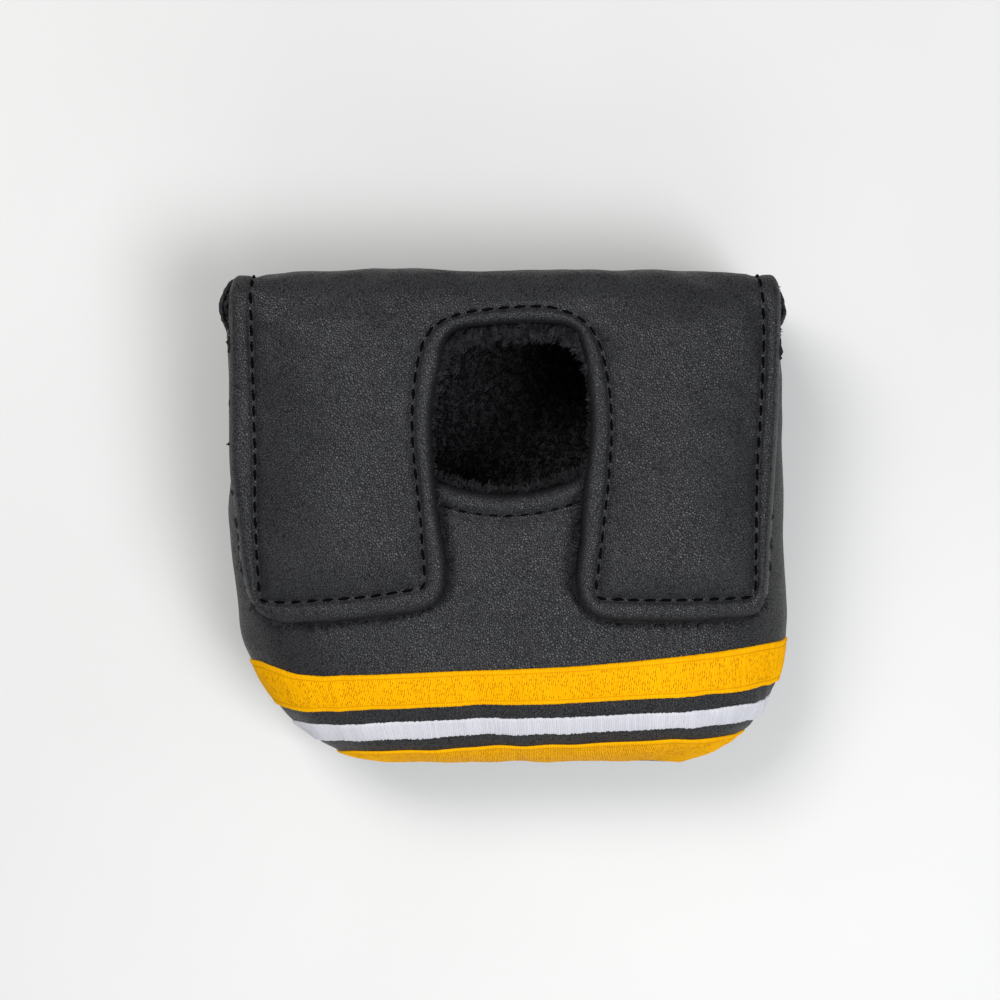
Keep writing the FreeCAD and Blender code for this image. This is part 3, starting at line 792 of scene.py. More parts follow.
def foot_rings(plan, normals, inset, count):
    """Rings from the flat of the sole up round its bottom edge."""
    radius = foot_radius(plan[:, 1]) - inset
    rings = []
    for angle in np.radians(np.linspace(-90, 0, count)):
        rings.append(ring(plan, normals, radius * (1 - math.cos(angle)) + inset,
                          inset + radius * (1 + math.sin(angle))))
    return rings


def top_outline(plan, rim, back, step, gap):
    """Outline of the crown's top: its rim behind the lip, closed along the lip."""
    rim = rim[plan[:, 1] <= LIP_Y + 0.6, :2]
    front = lip_curve(back, step)
    between = (front[:, 0] > rim[0, 0] + gap) & (front[:, 0] < rim[-1, 0] - gap)
    return np.vstack([rim, front[between][::-1]])


def crown_shell():
    """Outer skin of the upper half: sides, shoulders and top, open at the mouth."""
    plan, normals = plan_outline(1.15)
    radius = shoulder_radius(plan[:, 1])
    shoulder_z = TOP_Z - radius
    rings = []
    for part in (0, 0.035, 0.08, 0.14, 0.23, 0.36, 0.52, 0.7, 0.86):
        z = SEAM_Z + (shoulder_z - SEAM_Z) * part
        rings.append(ring(plan, normals, -seam_dip(z), z))
    steps = 26
    for i in range(steps + 1):
        angle = np.radians(shoulder_end(plan[:, 1]) * i / steps)
        z = shoulder_z + radius * np.sin(angle)
        dip = seam_dip(z) * bell(z, centre=SEAM_Z, width=6.0)
        rings.append(ring(plan, normals, radius * (1 - np.cos(angle)) - dip, z))
    outline = top_outline(plan, rings[-1], back=3.4, step=1.1, gap=0.6)
    # rows of points behind the lip, as (distance back, step)
    rows = ((LIP_STITCH_BACK, 1.0), (6.0, 1.2), (8.0, 1.4))
    top, top_faces = fill(outline, [lip_curve(back, step)[6:-6] for back, step in rows], 1.35)
    away, _ = path_distance(top, lip_curve(LIP_STITCH_BACK, 0.6), closed=False)
    z = crown_height(top[:, 0], top[:, 1])
    z = z - 0.75 * bell(away, centre=0.0, width=1.3) + 0.35 * bell(away, centre=4.0, width=2.6)
    return join(grid_mesh(rings), (np.column_stack([top, z]), top_faces))


# Turned-up front edge of the sole, behind the foot of the front wall: y, z
SOLE_STRIP = [
    (50.0, 0.0), (50.8, 0.0), (51.8, 0.0), (53.0, 0.0), (54.2, 0.05), (55.3, 0.22),
    (56.2, 0.62), (56.9, 1.25), (57.3, 2.1), (57.45, 3.2), (57.5, 4.6)]


def sole_shell():
    """Outer skin of the lower half, flat where it rests."""
    plan, normals = plan_outline(1.15)
    radius = foot_radius(plan[:, 1])
    rings = foot_rings(plan, normals, inset=0.0, count=17)
    for part in (0.14, 0.3, 0.48, 0.64, 0.77, 0.86, 0.92, 0.965, 1.0):
        z = radius + (SEAM_Z - radius) * part
        rings.append(ring(plan, normals, -seam_dip(z), z))
    base_rim = rings[0][:, :2]
    front_x = np.linspace(base_rim[-1, 0], base_rim[0, 0], 80)[1:-1]
    front = np.column_stack([front_x, np.full(len(front_x), FRONT_Y)])
    base, base_faces = fill(np.vstack([base_rim, front]), [], 1.9)
    strip_x = np.linspace(-50.5, 50.5, 90)
    strip = np.array([(x, y, z) for x in strip_x for y, z in SOLE_STRIP])
    return join(grid_mesh(rings),
                (np.column_stack([base, np.zeros(len(base))]), base_faces),
                (strip, grid_faces(len(strip_x), len(SOLE_STRIP))))


def skin_object(name, shell, material, thickness, flat_base=False):
    points, faces = shell
    points, _ = with_relief(points, faces, flat_base)
    ob = make(name, skew(points), faces, material, weld=0.02)
    thicken(ob, thickness)
    face_out(ob)
    return ob


crown = skin_object("crown_leather", crown_shell(), LEATHER, thickness=1.2)
register(crown, "black_leather", "pouch", "crown_panel")

sole = skin_object("sole_leather", sole_shell(), SOLE_LEATHER, thickness=1.0, flat_base=True)
register(sole, "black_leather", None, "sole_panel")
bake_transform(sole)

# ---------------------------------------------------------------------------
# The flap and front wall are one padded sheet. It is laid out flat as (x, v), v
# running back to front along the flap, over the fold and down the front. Heights
# are measured out from the level of its stitching.
# ---------------------------------------------------------------------------
SPREAD_X = -1.1              # the sheet widens away from this x as it goes lower
SPREAD_REACH = 464.0


def droop(x, y):
    """How far the flap hangs down at its sides and rear ends."""
    side = 4.6 * rise(np.abs(x), start=36.0, span=28.0)
    side = side * (0.30 + 0.70 * fall(y, start=50.0, span=30.0))
    return side + 2.4 * fall(y, start=-6.0, span=17.0)


def bend(x, v, height):
    """Sheet point to space: flat on top, round the fold, then down the front."""
    drop = droop(x, np.minimum(v, FOLD_START))
    level = FOLD_Z - drop
    x = x + (x - SPREAD_X) * (drop + np.maximum(-height, 0)) / SPREAD_REACH
    angle = np.clip((v - FOLD_START) / FOLD_RADIUS, 0, PI / 2)
    radius = np.maximum(FOLD_RADIUS + height, 0.4)
    flat = v <= FOLD_START
    down = v > FOLD_END
    y = np.where(flat, v, FOLD_START + radius * np.sin(angle))
    z = np.where(flat, level + height, level - FOLD_RADIUS + radius * np.cos(angle))
    y = np.where(down, FOLD_START + FOLD_RADIUS + height, y)
    z = np.where(down, level - FOLD_RADIUS - (v - FOLD_END), z)
    return np.column_stack([x, y, z])


def on_sheet(x, v, height):
    """Sheet point to space, with a little sway in the fold line."""
    points = bend(x, v, height)
    sway = waves(points[:, [0, 0, 2]] * [1, 0, 0.3], length=46.0, seed=36)
    points[:, 1] += 0.22 * sway * rise(v, start=40.0, span=12.0)
    return points


# Edge of the sheet, x and v: down the left, round the slot and up the right
FLAP_POINTS = [
    (-63.2, 96), (-63.3, 84), (-63.3, 70), (-63.3, 60), (-63.4, 51.7), (-63.3, 40),
    (-63.3, 28), (-63.1, 12.7), (-62.2, 5.0), (-61.5, -1), (-60.4, -10), (-58.9, -16.4),
    (-57.2, -19.8), (-54.4, -22.0), (-51.0, -22.9), (-46.6, -23.0), (-37.8, -22.5),
    (-29.6, -21.6), (-22.5, -20.7), (-18.3, -19.8), (-15.2, -17.8), (-13.6, -14.5),
    (-13.3, -10), (-13.8, -5), (-14.6, -0.9), (-15.4, 5), (-15.9, 10.6), (-16.4, 18),
    (-16.5, 25.8), (-15.8, 31), (-14.7, 36), (-14.0, 40.3), (-12.7, 43.4), (-10.2, 45.0),
    (-4.5, 45.9), (4, 46.5), (10, 46.4), (14.1, 45.8), (16.4, 44.3), (17.2, 42.2),
    (18.2, 37.9), (19.0, 32), (19.4, 27), (19.5, 23), (19.1, 17.3), (18.0, 8.6), (17.5, 2),
    (17.2, -3.6), (16.4, -9), (16.2, -13), (16.9, -17), (18.6, -19.8), (21.6, -21.7),
    (26, -22.3), (31.7, -22.5), (41, -22.5), (50, -22.2), (55.5, -21.6), (58.6, -20.2),
    (60.1, -17.2), (60.6, -13), (61.1, -3.6), (61.9, 10.4), (62.6, 21.9), (63.1, 35),
    (63.4, 51.7), (63.3, 60), (63.3, 70), (63.3, 84), (63.2, 96), (62.6, 101.5),
    (60.0, 105.6), (55.6, SHEET_END), (40, SHEET_END), (20, SHEET_END), (0, SHEET_END),
    (-20, SHEET_END), (-40, SHEET_END), (-55.6, SHEET_END), (-60.0, 105.6), (-62.6, 101.5)]

# Stitch line inside that edge, x and v, in the same order
STITCH_POINTS = [
    (-58.1, 98.5), (-58.1, 84), (-58.2, 70), (-58.2, 58), (-58.3, 50), (-58.1, 41),
    (-57.8, 32.2), (-57.3, 15), (-57.4, 4.7), (-56.9, -8), (-56.2, -17.6), (-50.7, -18.0),
    (-41.3, -17.3), (-31.2, -16.5), (-21.8, -15.0), (-18.6, -14.4), (-18.4, -10.5),
    (-18.9, -5.4), (-19.2, 0.1), (-19.9, 6.5), (-20.8, 15), (-21.2, 20), (-21.3, 25),
    (-21.0, 30), (-20.4, 35.2), (-19.7, 38.9), (-18.5, 42.6), (-16.5, 45.4), (-13.3, 47.5),
    (-8, 49.1), (-1.1, 50.0), (5.8, 50.4), (10.8, 50.1), (16.1, 48.4), (19.9, 45.3),
    (21.7, 41.8), (23.0, 37), (24.0, 31.1), (24.5, 25), (24.5, 20), (24.2, 15.7),
    (23.7, 8.8), (23.0, 3), (22.3, -3.6), (21.5, -10), (20.9, -14), (21.3, -16.9),
    (30.8, -17.3), (41.1, -17.3), (50, -17.1), (56.6, -16.8), (57.6, -14.8), (57.7, -3.6),
    (57.8, 5.8), (58.0, 15), (58.7, 25), (59.2, 34), (59.5, 43), (59.3, 50), (58.6, 58),
    (58.3, 70), (58.2, 84), (58.1, 98.5), (56.6, 101.6), (53.5, 102.5), (30, 102.5),
    (0, 102.5), (-30, 102.5), (-53.5, 102.5), (-56.6, 101.6)]

# Both loops run with the sheet on their left
OUTLINE = spline(FLAP_POINTS, 0.85, True)
OUTLINE_INWARD = left_normals(OUTLINE, True)
STITCH = soften(resample(np.array(STITCH_POINTS), 0.7, True), 2)


def over_fold(v):
    """1 on the fold, 0 away from it."""
    return rise(v, start=46.0, span=8.0) * fall(v, start=70.0, span=8.0)


def sheet_height(sheet):
    """Height of the leather above stitch level, and how far each point lies inside the
    stitch line."""
    x, v = sheet.T
    level = np.column_stack([sheet, np.zeros(len(sheet))])
    to_edge, edge_arc = path_distance(sheet, OUTLINE)
    to_stitch, stitch_arc = path_distance(sheet, STITCH)
    inner = inside(sheet, STITCH)
    depth = np.where(inner, to_stitch, -to_stitch)
    within = np.maximum(depth, 0)
    fold = over_fold(v)
    # a roll between the edge and the stitching, padding inside it
    across = to_edge / np.maximum(to_edge + to_stitch, 1e-6)
    roll = 1.30 * (1 - np.power(np.abs(2 * across - 1), 3.0))
    puff = 1.45 * (1 - np.exp(-np.power(within / 3.2, 1.15))) + 0.90 * (1 - np.exp(-within / 15.0))
    puff *= 1 - 0.42 * fold
    height = np.where(inner, puff, roll)
    # the edge turns down; the stitching lies in a groove
    turn = np.clip(to_edge / 1.9, 0, 1)
    turned_edge = -2.6 * (1 - np.sqrt(np.maximum(1 - (1 - turn) ** 2, 0)))
    height = height + (1.25 - height) * 0.70 * fold + turned_edge
    height -= (0.50 - 0.22 * fold) * bell(to_stitch, centre=0.0, width=0.52)
    # gathers at every needle hole, uneven from stitch to stitch
    uneven = 0.75 + 0.35 * waves(level, length=9.0, seed=31)
    phase = 2 * PI * stitch_arc / SHEET_PITCH
    height += 0.15 * np.cos(phase) * np.exp(-to_stitch / 1.5) * uneven
    height += 0.07 * np.cos(phase * 0.5 + 1.1) * np.exp(-to_stitch / 3.2) * inner
    # the turned edge puckers where it runs round the slot
    at_slot = np.exp(-(((x - SLOT_X) / 21.0) ** 6)) * (v > -26) * (v < 51)
    pucker = np.sin(2 * PI * edge_arc / 3.3 + 1.3 * waves(level, length=14.0, seed=33))
    height += 0.13 * pucker * np.exp(-(to_edge - 0.8) ** 2 / 1.6) * at_slot
    # slow unevenness of the padding
    lumps = 0.15 * waves(level, length=26.0, seed=34) + 0.06 * waves(level, 10.0, seed=35)
    height += lumps * np.where(inner, smooth(within / 6.0), 0.35) * (1 - 0.5 * fold)
    return height, depth


def flap_sheet():
    """Triangles over the sheet, dense along its edge and its stitching."""
    lines = [OUTLINE + OUTLINE_INWARD * d for d in (0.22, 0.6, 1.1, 1.75, 2.5)]
    inward = left_normals(STITCH, True)
    lines += [STITCH] + [STITCH + inward * d for d in (-1.3, -0.65, 0.65, 1.3)]
    lines = [line[inside(line, OUTLINE)] for line in lines]
    return fill(OUTLINE, lines, 1.15, margin=0.5)


def puff_by_cloth():
    """Let the padded sheet fill out: a coarse copy of it is blown up as cloth, held along
    its stitching and its turned edge, and the rise of each of its points is read back."""
    scale = 10.0             # the copy is simulated ten times larger
    cap = 1.3                # mm, limit that the rise eases towards
    last_frame = 20
    sheet, faces = fill(OUTLINE, [resample(STITCH, 1.9, True)], 2.5, margin=0.9)
    height, depth = sheet_height(sheet)
    start = bend(*sheet.T, height)
    up = bend(*sheet.T, height + 1.0) - start
    mesh = bpy.data.meshes.new("puff_copy")
    mesh.from_pydata((start * MM * scale).tolist(), [], faces)
    mesh.update()
    ob = link(bpy.data.objects.new("puff_copy", mesh))
    face_out(ob, (0.0, 0.02 * scale, 0.03 * scale))
    pins = ob.vertex_groups.new(name="held")
    pins.add(np.where(depth < 0.7)[0].tolist(), 1.0, "REPLACE")
    pins.add(np.where((depth >= 0.7) & (depth < 2.4))[0].tolist(), 0.35, "REPLACE")
    cloth = ob.modifiers.new("cloth", "CLOTH")
    settings = dict(
        quality=6, mass=0.3, tension_stiffness=18.0, compression_stiffness=18.0,
        shear_stiffness=8.0, bending_stiffness=0.6, vertex_group_mass="held",
        use_pressure=True, uniform_pressure_force=4.0, shrink_min=-0.012)
    for key, value in settings.items():
        setattr(cloth.settings, key, value)
    cloth.settings.effector_weights.gravity = 0.0
    cloth.collision_settings.use_collision = False
    cloth.point_cache.frame_start = 1
    cloth.point_cache.frame_end = last_frame
    scene = bpy.context.scene
    for number in range(1, last_frame + 1):
        scene.frame_set(number)
    evaluated = ob.evaluated_get(bpy.context.evaluated_depsgraph_get())
    end = np.empty(len(sheet) * 3)
    evaluated.to_mesh().vertices.foreach_get("co", end)
    rises = ((end.reshape(-1, 3) / (MM * scale) - start) * up).sum(1)
    evaluated.to_mesh_clear()
    bpy.data.objects.remove(ob)
    bpy.data.meshes.remove(mesh)
    scene.frame_set(1)
    return sheet, cap * np.tanh(np.nan_to_num(rises) / cap)


def carry(coarse, values, fine):
    """Take values from the coarse sheet to the fine one, weighted by nearness."""
    tree = point_tree(coarse)
    result = np.zeros(len(fine))
    for i, (x, v) in enumerate(fine):
        weight = total = 0.0
        for _place, j, distance in tree.find_n((x, v, 0.0), 7):
            near = math.exp(-(distance / 1.7) ** 2) + 1e-9
            weight += near
            total += near * values[j]
        result[i] = total / weight
    return result


SHEET, SHEET_FACES = flap_sheet()
SHEET_HEIGHT, SHEET_DEPTH = sheet_height(SHEET)
SHEET_HEIGHT = (SHEET_HEIGHT
                + carry(*puff_by_cloth(), SHEET) * rise(SHEET_DEPTH, start=0.0, span=2.5))
INSIDE_FLAP = (0.0, 0.02, 0.03)      # a point under the folded sheet, in metres

flap = make("flap_leather", on_sheet(*SHEET.T, SHEET_HEIGHT), SHEET_FACES, LEATHER)
face_out(flap, INSIDE_FLAP)
thicken(flap, 1.1)
register(flap, "black_leather", "fold", "flap_panel", "front_panel")


# ---------------------------------------------------------------------------
# Topstitches: two-ply twisted thread that dives into the leather at both ends
# ---------------------------------------------------------------------------
def stitches(name, centres, along, up, length, radius, lift, dive, slant, seed):
    """One stitch at every centre: its middle stands by the lift, its ends go down by the
    dive, and it lies across its line by the slant, in radians."""
    rng = np.random.RandomState(seed)
    rings, sides = 13, 8
    points, faces = [], []
    for number, (centre, forward, normal) in enumerate(zip(centres, along, up)):
        forward = unit(forward)
        normal = unit(normal - forward * (normal @ forward))
        across = np.cross(normal, forward)
        turn = slant + rng.uniform(-0.05, 0.05)
        axis = forward * math.cos(turn) + across * math.sin(turn)
        across = np.cross(normal, axis)
        half = length * rng.uniform(0.93, 1.05) / 2
        for s in np.linspace(-1, 1, rings):
            thick = radius * (0.42 + 0.58 * math.sqrt(max(1 - s ** 4, 0)))
            middle = centre + axis * (half * s) + normal * (lift - dive * abs(s) ** 3)
            for j in range(sides):
                angle = 2 * PI * j / sides
                ply = thick * (1 + 0.16 * math.cos(2 * (angle + 3.4 * s)))
                points.append(middle + across * (ply * math.cos(angle))
                              + normal * (ply * math.sin(angle)))
        tip = half + radius * 0.4
        points.append(centre - axis * tip + normal * (lift - dive))
        points.append(centre + axis * tip + normal * (lift - dive))
        base = number * (rings * sides + 2)
        for k in range(rings - 1):
            a = base + k * sides
            for j in range(sides):
                after = (j + 1) % sides
                faces.append((a + j, a + after, a + sides + after, a + sides + j))
        start_tip = base + rings * sides
        last_ring = start_tip - sides
        for j in range(sides):
            after = (j + 1) % sides
            faces.append((start_tip, base + after, base + j))
            faces.append((start_tip + 1, last_ring + j, last_ring + after))
    return make(name, np.array(points), faces, THREAD)


def path_spots(line, closed, pitch):
    """Places at even pitch along a line, and the direction of the line at each."""
    line = close(line) if closed else line
    lengths = arc_lengths(line)
    at = (np.arange(int(lengths[-1] / pitch)) + 0.5) * pitch
    reach = 0.7
    along = sample(line, lengths, at + reach) - sample(line, lengths, at - reach)
    return sample(line, lengths, at), along


def sheet_stitches():
    spots, along = path_spots(STITCH, True, SHEET_PITCH)
    x, v = spots.T
    dx, dv = unit(along).T
    # the padding stands higher where it goes round the fold, and the thread with it
    height = -0.05 + 1.02 * over_fold(v)
    reach = 0.4
    centres = on_sheet(x, v, height)
    forward = on_sheet(x + dx * reach, v + dv * reach, height) - centres
    up = on_sheet(x, v, height + 1.0) - centres
    at_slot = (np.abs(x - SLOT_X) < 24.0) & (v > -14.2) & (v < 60)
    groups = [
        ("slot_topstitch", at_slot, 3, "fold", ["flap_slot_stitch"]),
        ("edge_topstitch", ~at_slot & (v < 74), 4, "fold", ["flap_edge_stitch"]),
        ("front_topstitch", ~at_slot & (v >= 74), 5, "front_wall", [])]
    for name, chosen, seed, body, nodes in groups:
        ob = stitches(name, centres[chosen], forward[chosen], up[chosen], length=2.85,
                      radius=0.32, lift=0.04, dive=0.60, slant=0.06, seed=seed)
        register(ob, "black_thread", body, *nodes)


sheet_stitches()

# ---------------------------------------------------------------------------
# Rolled lip of the mouth: leather binding that turns over the edge of the crown
# and runs on forward along both sides of the mouth
# ---------------------------------------------------------------------------
# Left side of the mouth in plan, front to rear; the right side mirrors it
MOUTH_SIDE = [(-53.6, 49.6), (-53.6, 44), (-53.6, 36), (-53.5, 29), (-52.2, 23.3)]
lip_edge = lip_curve(0.0, 0.6)
lip_edge = lip_edge[np.abs(lip_edge[:, 0]) < 47.0]
MOUTH = spline(MOUTH_SIDE + [tuple(p) for p in lip_edge[::6]]
               + [(-x, y) for x, y in reversed(MOUTH_SIDE)], 0.55, False)
MOUTH_BACK = -left_normals(MOUTH, False)      # away from the opening

# Section of the roll: distance back from the mouth, height above the crown
LIP_PROFILE = [
    (4.6, -3.6), (3.4, -4.6), (1.9, -4.9), (0.85, -4.5), (0.25, -3.7), (0.0, -2.6),
    (0.02, -1.6), (0.25, -0.75), (0.75, -0.02), (1.4, 0.44), (2.15, 0.64), (2.9, 0.58),
    (3.55, 0.28), (4.05, -0.12), (4.4, -0.42), (4.75, -0.55)]


def lip_roll():
    arc = arc_lengths(MOUTH)
    gather = 0.10 * np.cos(2 * PI * arc / LIP_PITCH) + 0.06 * np.cos(2 * PI * arc / 8.3 + 1.0)
    rows = []
    for back, above in LIP_PROFILE:
        plan = MOUTH + MOUTH_BACK * back
        on_top = bell(back, centre=2.0, width=1.3) * (above > -1.5)
        z = crown_height(plan[:, 0], plan[:, 1]) + above + gather * on_top
        plan = plan + MOUTH_BACK * (gather * 0.5 * math.exp(-back / 0.8))[:, None]
        rows.append(np.column_stack([plan, z]))
    points, faces = grid_mesh(rows)
    points[:, 2] += relief(points)
    ob = make("lip_roll", skew(points), faces, LEATHER)
    thicken(ob, 0.6, offset=0.0)
    register(ob, "black_leather", "pouch", "lip_binding")


def lip_stitches():
    def on_crown(plan, lift):
        points = np.column_stack([plan, crown_height(plan[:, 0], plan[:, 1]) + lift])
        points[:, 2] += relief(points)
        return skew(points)

    spots, along = path_spots(MOUTH + MOUTH_BACK * LIP_STITCH_BACK, False, LIP_PITCH)
    level = -0.40
    centres = on_crown(spots, level)
    forward = on_crown(spots + unit(along) * 0.4, level) - centres
    ob = stitches("lip_stitches", centres, forward, on_crown(spots, level + 1.0) - centres,
                  length=2.7, radius=0.33, lift=0.10, dive=0.5, slant=0.06, seed=6)
    register(ob, "black_thread", "pouch", "lip_topstitch")


lip_roll()
lip_stitches()

# ---------------------------------------------------------------------------
# Embroidered bands. Threads lie front to back, side by side across the width;
# each band has a middle fill, and the gold ones have satin edges.
# ---------------------------------------------------------------------------
BAND_END_Z = 23.0            # the ends go down to just above the seam
# Forward sweep of a band's ends: distance behind the origin, right end, left end
BAND_SWEEP = np.array([(33.4, 2.5, 3.6), (41.9, 1.25, 0.9), (47.0, 0.9, 0.3), (57.0, 1.2, 0.6)])


def band_forward(s, y):
    """How far a band runs forward of a straight line, by arc length from the middle: it
    rises a little to the right, and both ends sweep forward, most of all the foremost."""
    right = np.interp(-y, BAND_SWEEP[:, 0], BAND_SWEEP[:, 1])
    left = np.interp(-y, BAND_SWEEP[:, 0], BAND_SWEEP[:, 2])
    sweep = np.where(s > 0, right * rise(s, start=8.0, span=56.0),
                     left * fall(s, start=-46.0, span=22.0))
    return 0.036 * s + sweep


def crown_half_width(y):
    past = np.maximum(CORNER_Y - y, 0.0)
    return CORNER_X + np.sqrt(np.maximum(CORNER ** 2 - past ** 2, 0.0))


def band_row(y, step, side):
    """Line over the crown at one place in the band, from the middle to one side, evenly
    spaced by arc length."""
    across = np.sin(np.linspace(0, PI / 2, 700))
    x = crown_half_width(y) * across
    arc = arc_lengths(np.column_stack([x, crown_height(x, np.full_like(x, y))]))
    forward = band_forward(side * arc, y) * rise(y, start=REAR_Y, span=6.0)
    row_y = np.maximum(y + forward, REAR_Y + 0.3)
    x = crown_half_width(row_y) * across
    z = np.append(crown_height(x, row_y), BAND_END_Z)
    line = np.column_stack([side * np.append(x, x[-1]), np.append(row_y, row_y[-1]), z])
    lengths = arc_lengths(line)
    return sample(line, lengths, np.arange(int(lengths[-1] / step) + 1) * step)


def band_half(rows):
    """One side of a band from its rows. Threads keep their spacing in the middle and
    fan out round the end."""
    count = int(round(sum(len(row) for row in rows) / len(rows)))
    t = np.arange(count) / (count - 1.0)
    even = [sample(row, np.arange(len(row)), np.arange(count) + (len(row) - count) * t ** 4)
            for row in rows]
    return np.stack(even, axis=1)


def thread_height(along, edge, looseness, border):
    """Height of the stitching over the leather; edge is the distance from the nearer
    long edge of the band."""
    rounded = np.clip(edge / 0.55, 0, 1)
    height = 0.50 * np.sqrt(np.maximum(1 - (1 - rounded) ** 2, 0)) - 0.12
    height += 0.065 * np.cos(2 * PI * along / THREAD_PITCH) * rise(edge, start=0.0, span=0.2)
    height += 0.022 * looseness
    if border:
        # satin edges stand a little proud of the fill, with a fine line between
        height += 0.10 * fall(edge, start=border + 0.25, span=0.3)
        height -= 0.12 * bell(edge, centre=border + 0.1, width=0.16)
    return height


def band(name, front, rear, thread, node, slot, seed, border=1.05, ragged=0.0):
    """Band between two y places. The border is the width of its satin edges."""
    step = THREAD_PITCH / 4
    y = np.linspace(front, rear, 400)
    arc = arc_lengths(np.column_stack([y, crown_height(np.zeros_like(y), y)]))
    width = arc[-1]
    core = np.linspace(0, width, max(int(width / 0.36), 9))
    rim = np.array([0.30, 0.16, 0.06, 0])
    stations = np.unique(np.concatenate([rim[::-1], core[1:-1], width - rim]))
    places = np.interp(stations, arc, y)
    left, right = (band_half([band_row(place, step, side) for place in places])
                   for side in (-1, 1))
    grid = np.concatenate([left[1:][::-1], right], axis=0)
    columns = np.concatenate([-np.arange(1, len(left))[::-1], np.arange(len(right))]) * step
    faces = grid_faces(*grid.shape[:2])
    points, normals = with_relief(grid.reshape(-1, 3), faces)
    along = np.repeat(columns, len(stations))
    across = np.tile(stations, len(columns))
    number = np.floor(along / THREAD_PITCH + 0.5)
    number = (number - number.min()).astype(int)
    looseness = np.random.RandomState(seed).uniform(-1, 1, number.max() + 1)[number]
    edge = np.minimum(across, width - across)
    height = thread_height(along, edge, looseness, border)
    if border:
        # needle points in the fill, staggered from thread to thread
        phase = np.mod(across / 2.1 + np.mod(looseness * 37.7, 1.0), 1.0)
        dip = bell(np.minimum(phase, 1 - phase) * 2.1, centre=0.0, width=0.24)
        height -= 0.06 * dip * (edge > border + 0.25)
    points = points + normals * height[:, None]
    # the ends of the threads are not quite level
    forward = np.where(across < width / 2, 1.0, -1.0)
    points[:, 1] += forward * np.exp(-edge / 0.5) * (0.05 + ragged) * looseness
    material = embroidery_material(thread, width=width if border else 0.0, **EMBROIDERY[thread])
    ob = make(name, skew(points), faces, material,
              uv=np.column_stack([along + 0.5 * THREAD_PITCH, across]))
    ob.data.flip_normals()       # the grid is laid out facing down
    thicken(ob, 0.5)
    register(ob, slot, "pouch", node)


band("upper_gold_band", front=-33.4, rear=-41.9, thread="gold_thread",
     node="stripe_upper_gold", slot="gold_embroidery", seed=11)
band("white_band", front=-45.3, rear=-49.5, thread="white_thread",
     node="stripe_middle_white", slot="white_embroidery", seed=12, border=0.0, ragged=0.10)
band("lower_gold_band", front=-52.5, rear=-57.0, thread="gold_thread",
     node="stripe_lower_gold", slot="gold_embroidery", seed=13)

# ---------------------------------------------------------------------------
# Layers of the pouch wall: foam, then plush with its pile on the inside
# ---------------------------------------------------------------------------
FOAM_INSET = 4.2
PLUSH_INSET = 6.3
SEAM_GAP = 0.3               # the layers stop short of the seam


def crown_layer(inset, step, back):
    """Upper half of the wall at one depth, its lip moved back by a distance."""
    plan, normals = plan_outline(step)
    radius = shoulder_radius(plan[:, 1]) - inset
    shoulder_z = TOP_Z - inset - radius
    rings = []
    for part in np.linspace(0, 1, 9)[:-1]:
        z = SEAM_Z + SEAM_GAP + (shoulder_z - SEAM_Z - SEAM_GAP) * part
        rings.append(ring(plan, normals, inset, z))
    for part in np.linspace(0, 1, 16):
        angle = np.radians(shoulder_end(plan[:, 1]) * part)
        rings.append(ring(plan, normals, radius * (1 - np.cos(angle)) + inset,
                          shoulder_z + radius * np.sin(angle)))
    top, faces = fill(top_outline(plan, rings[-1], back, step, gap=0.8), [], step * 1.15)
    z = crown_height(top[:, 0], top[:, 1], inset)
    return join(grid_mesh(rings), (np.column_stack([top, z]), faces))


def sole_layer(inset, step):
    """Lower half of the wall at one depth."""
    plan, normals = plan_outline(step)
    radius = foot_radius(plan[:, 1]) - inset
    rings = foot_rings(plan, normals, inset, 12)
    for part in (0.33, 0.66, 1.0):
        z = inset + radius + (SEAM_Z - SEAM_GAP - inset - radius) * part
        rings.append(ring(plan, normals, inset, z))
    rim = rings[0][:, :2]
    front_x = np.arange(rim[-1, 0] - step, rim[0, 0] + step, -step)
    front = np.column_stack([front_x, np.full(len(front_x), FRONT_Y)])
    base, faces = fill(np.vstack([rim, front]), [], step * 1.15)
    return join(grid_mesh(rings), (np.column_stack([base, np.full(len(base), inset)]), faces))


def wall_layer(name, shell, thickness, material, slot, node):
    points, faces = shell
    ob = make(name, skew(points), faces, material, weld=0.02)
    face_out(ob)
    thicken(ob, thickness, offset=1.0)
    register(ob, slot, "pouch", node)


def lumpy(shell, seed):
    """A shell with the short unevenness of plush."""
    points, faces = shell
    lumps = 0.35 * (0.55 * waves(points, length=2.6, seed=seed)
                    + 0.45 * waves(points, length=6.0, seed=seed + 1))
    return points + outward_normals(points, faces) * lumps[:, None], faces


crown_foam = crown_layer(FOAM_INSET, step=2.4, back=3.6)
# room for the folding edge of the flap
crown_foam[0][:, 1] = np.minimum(crown_foam[0][:, 1], FRONT_Y - 2.2)
wall_layer("crown_padding", crown_foam, 2.4, FOAM, "foam", "crown_foam")
wall_layer("sole_padding", sole_layer(FOAM_INSET, step=2.4), 2.6, FOAM, "foam", "sole_foam")
wall_layer("crown_plush", lumpy(crown_layer(PLUSH_INSET, step=1.1, back=-0.6), seed=62),
           1.9, PLUSH, "plush", "crown_lining")
wall_layer("sole_plush", lumpy(sole_layer(PLUSH_INSET, step=1.1), seed=65),
           1.9, PLUSH, "plush", "sole_lining")


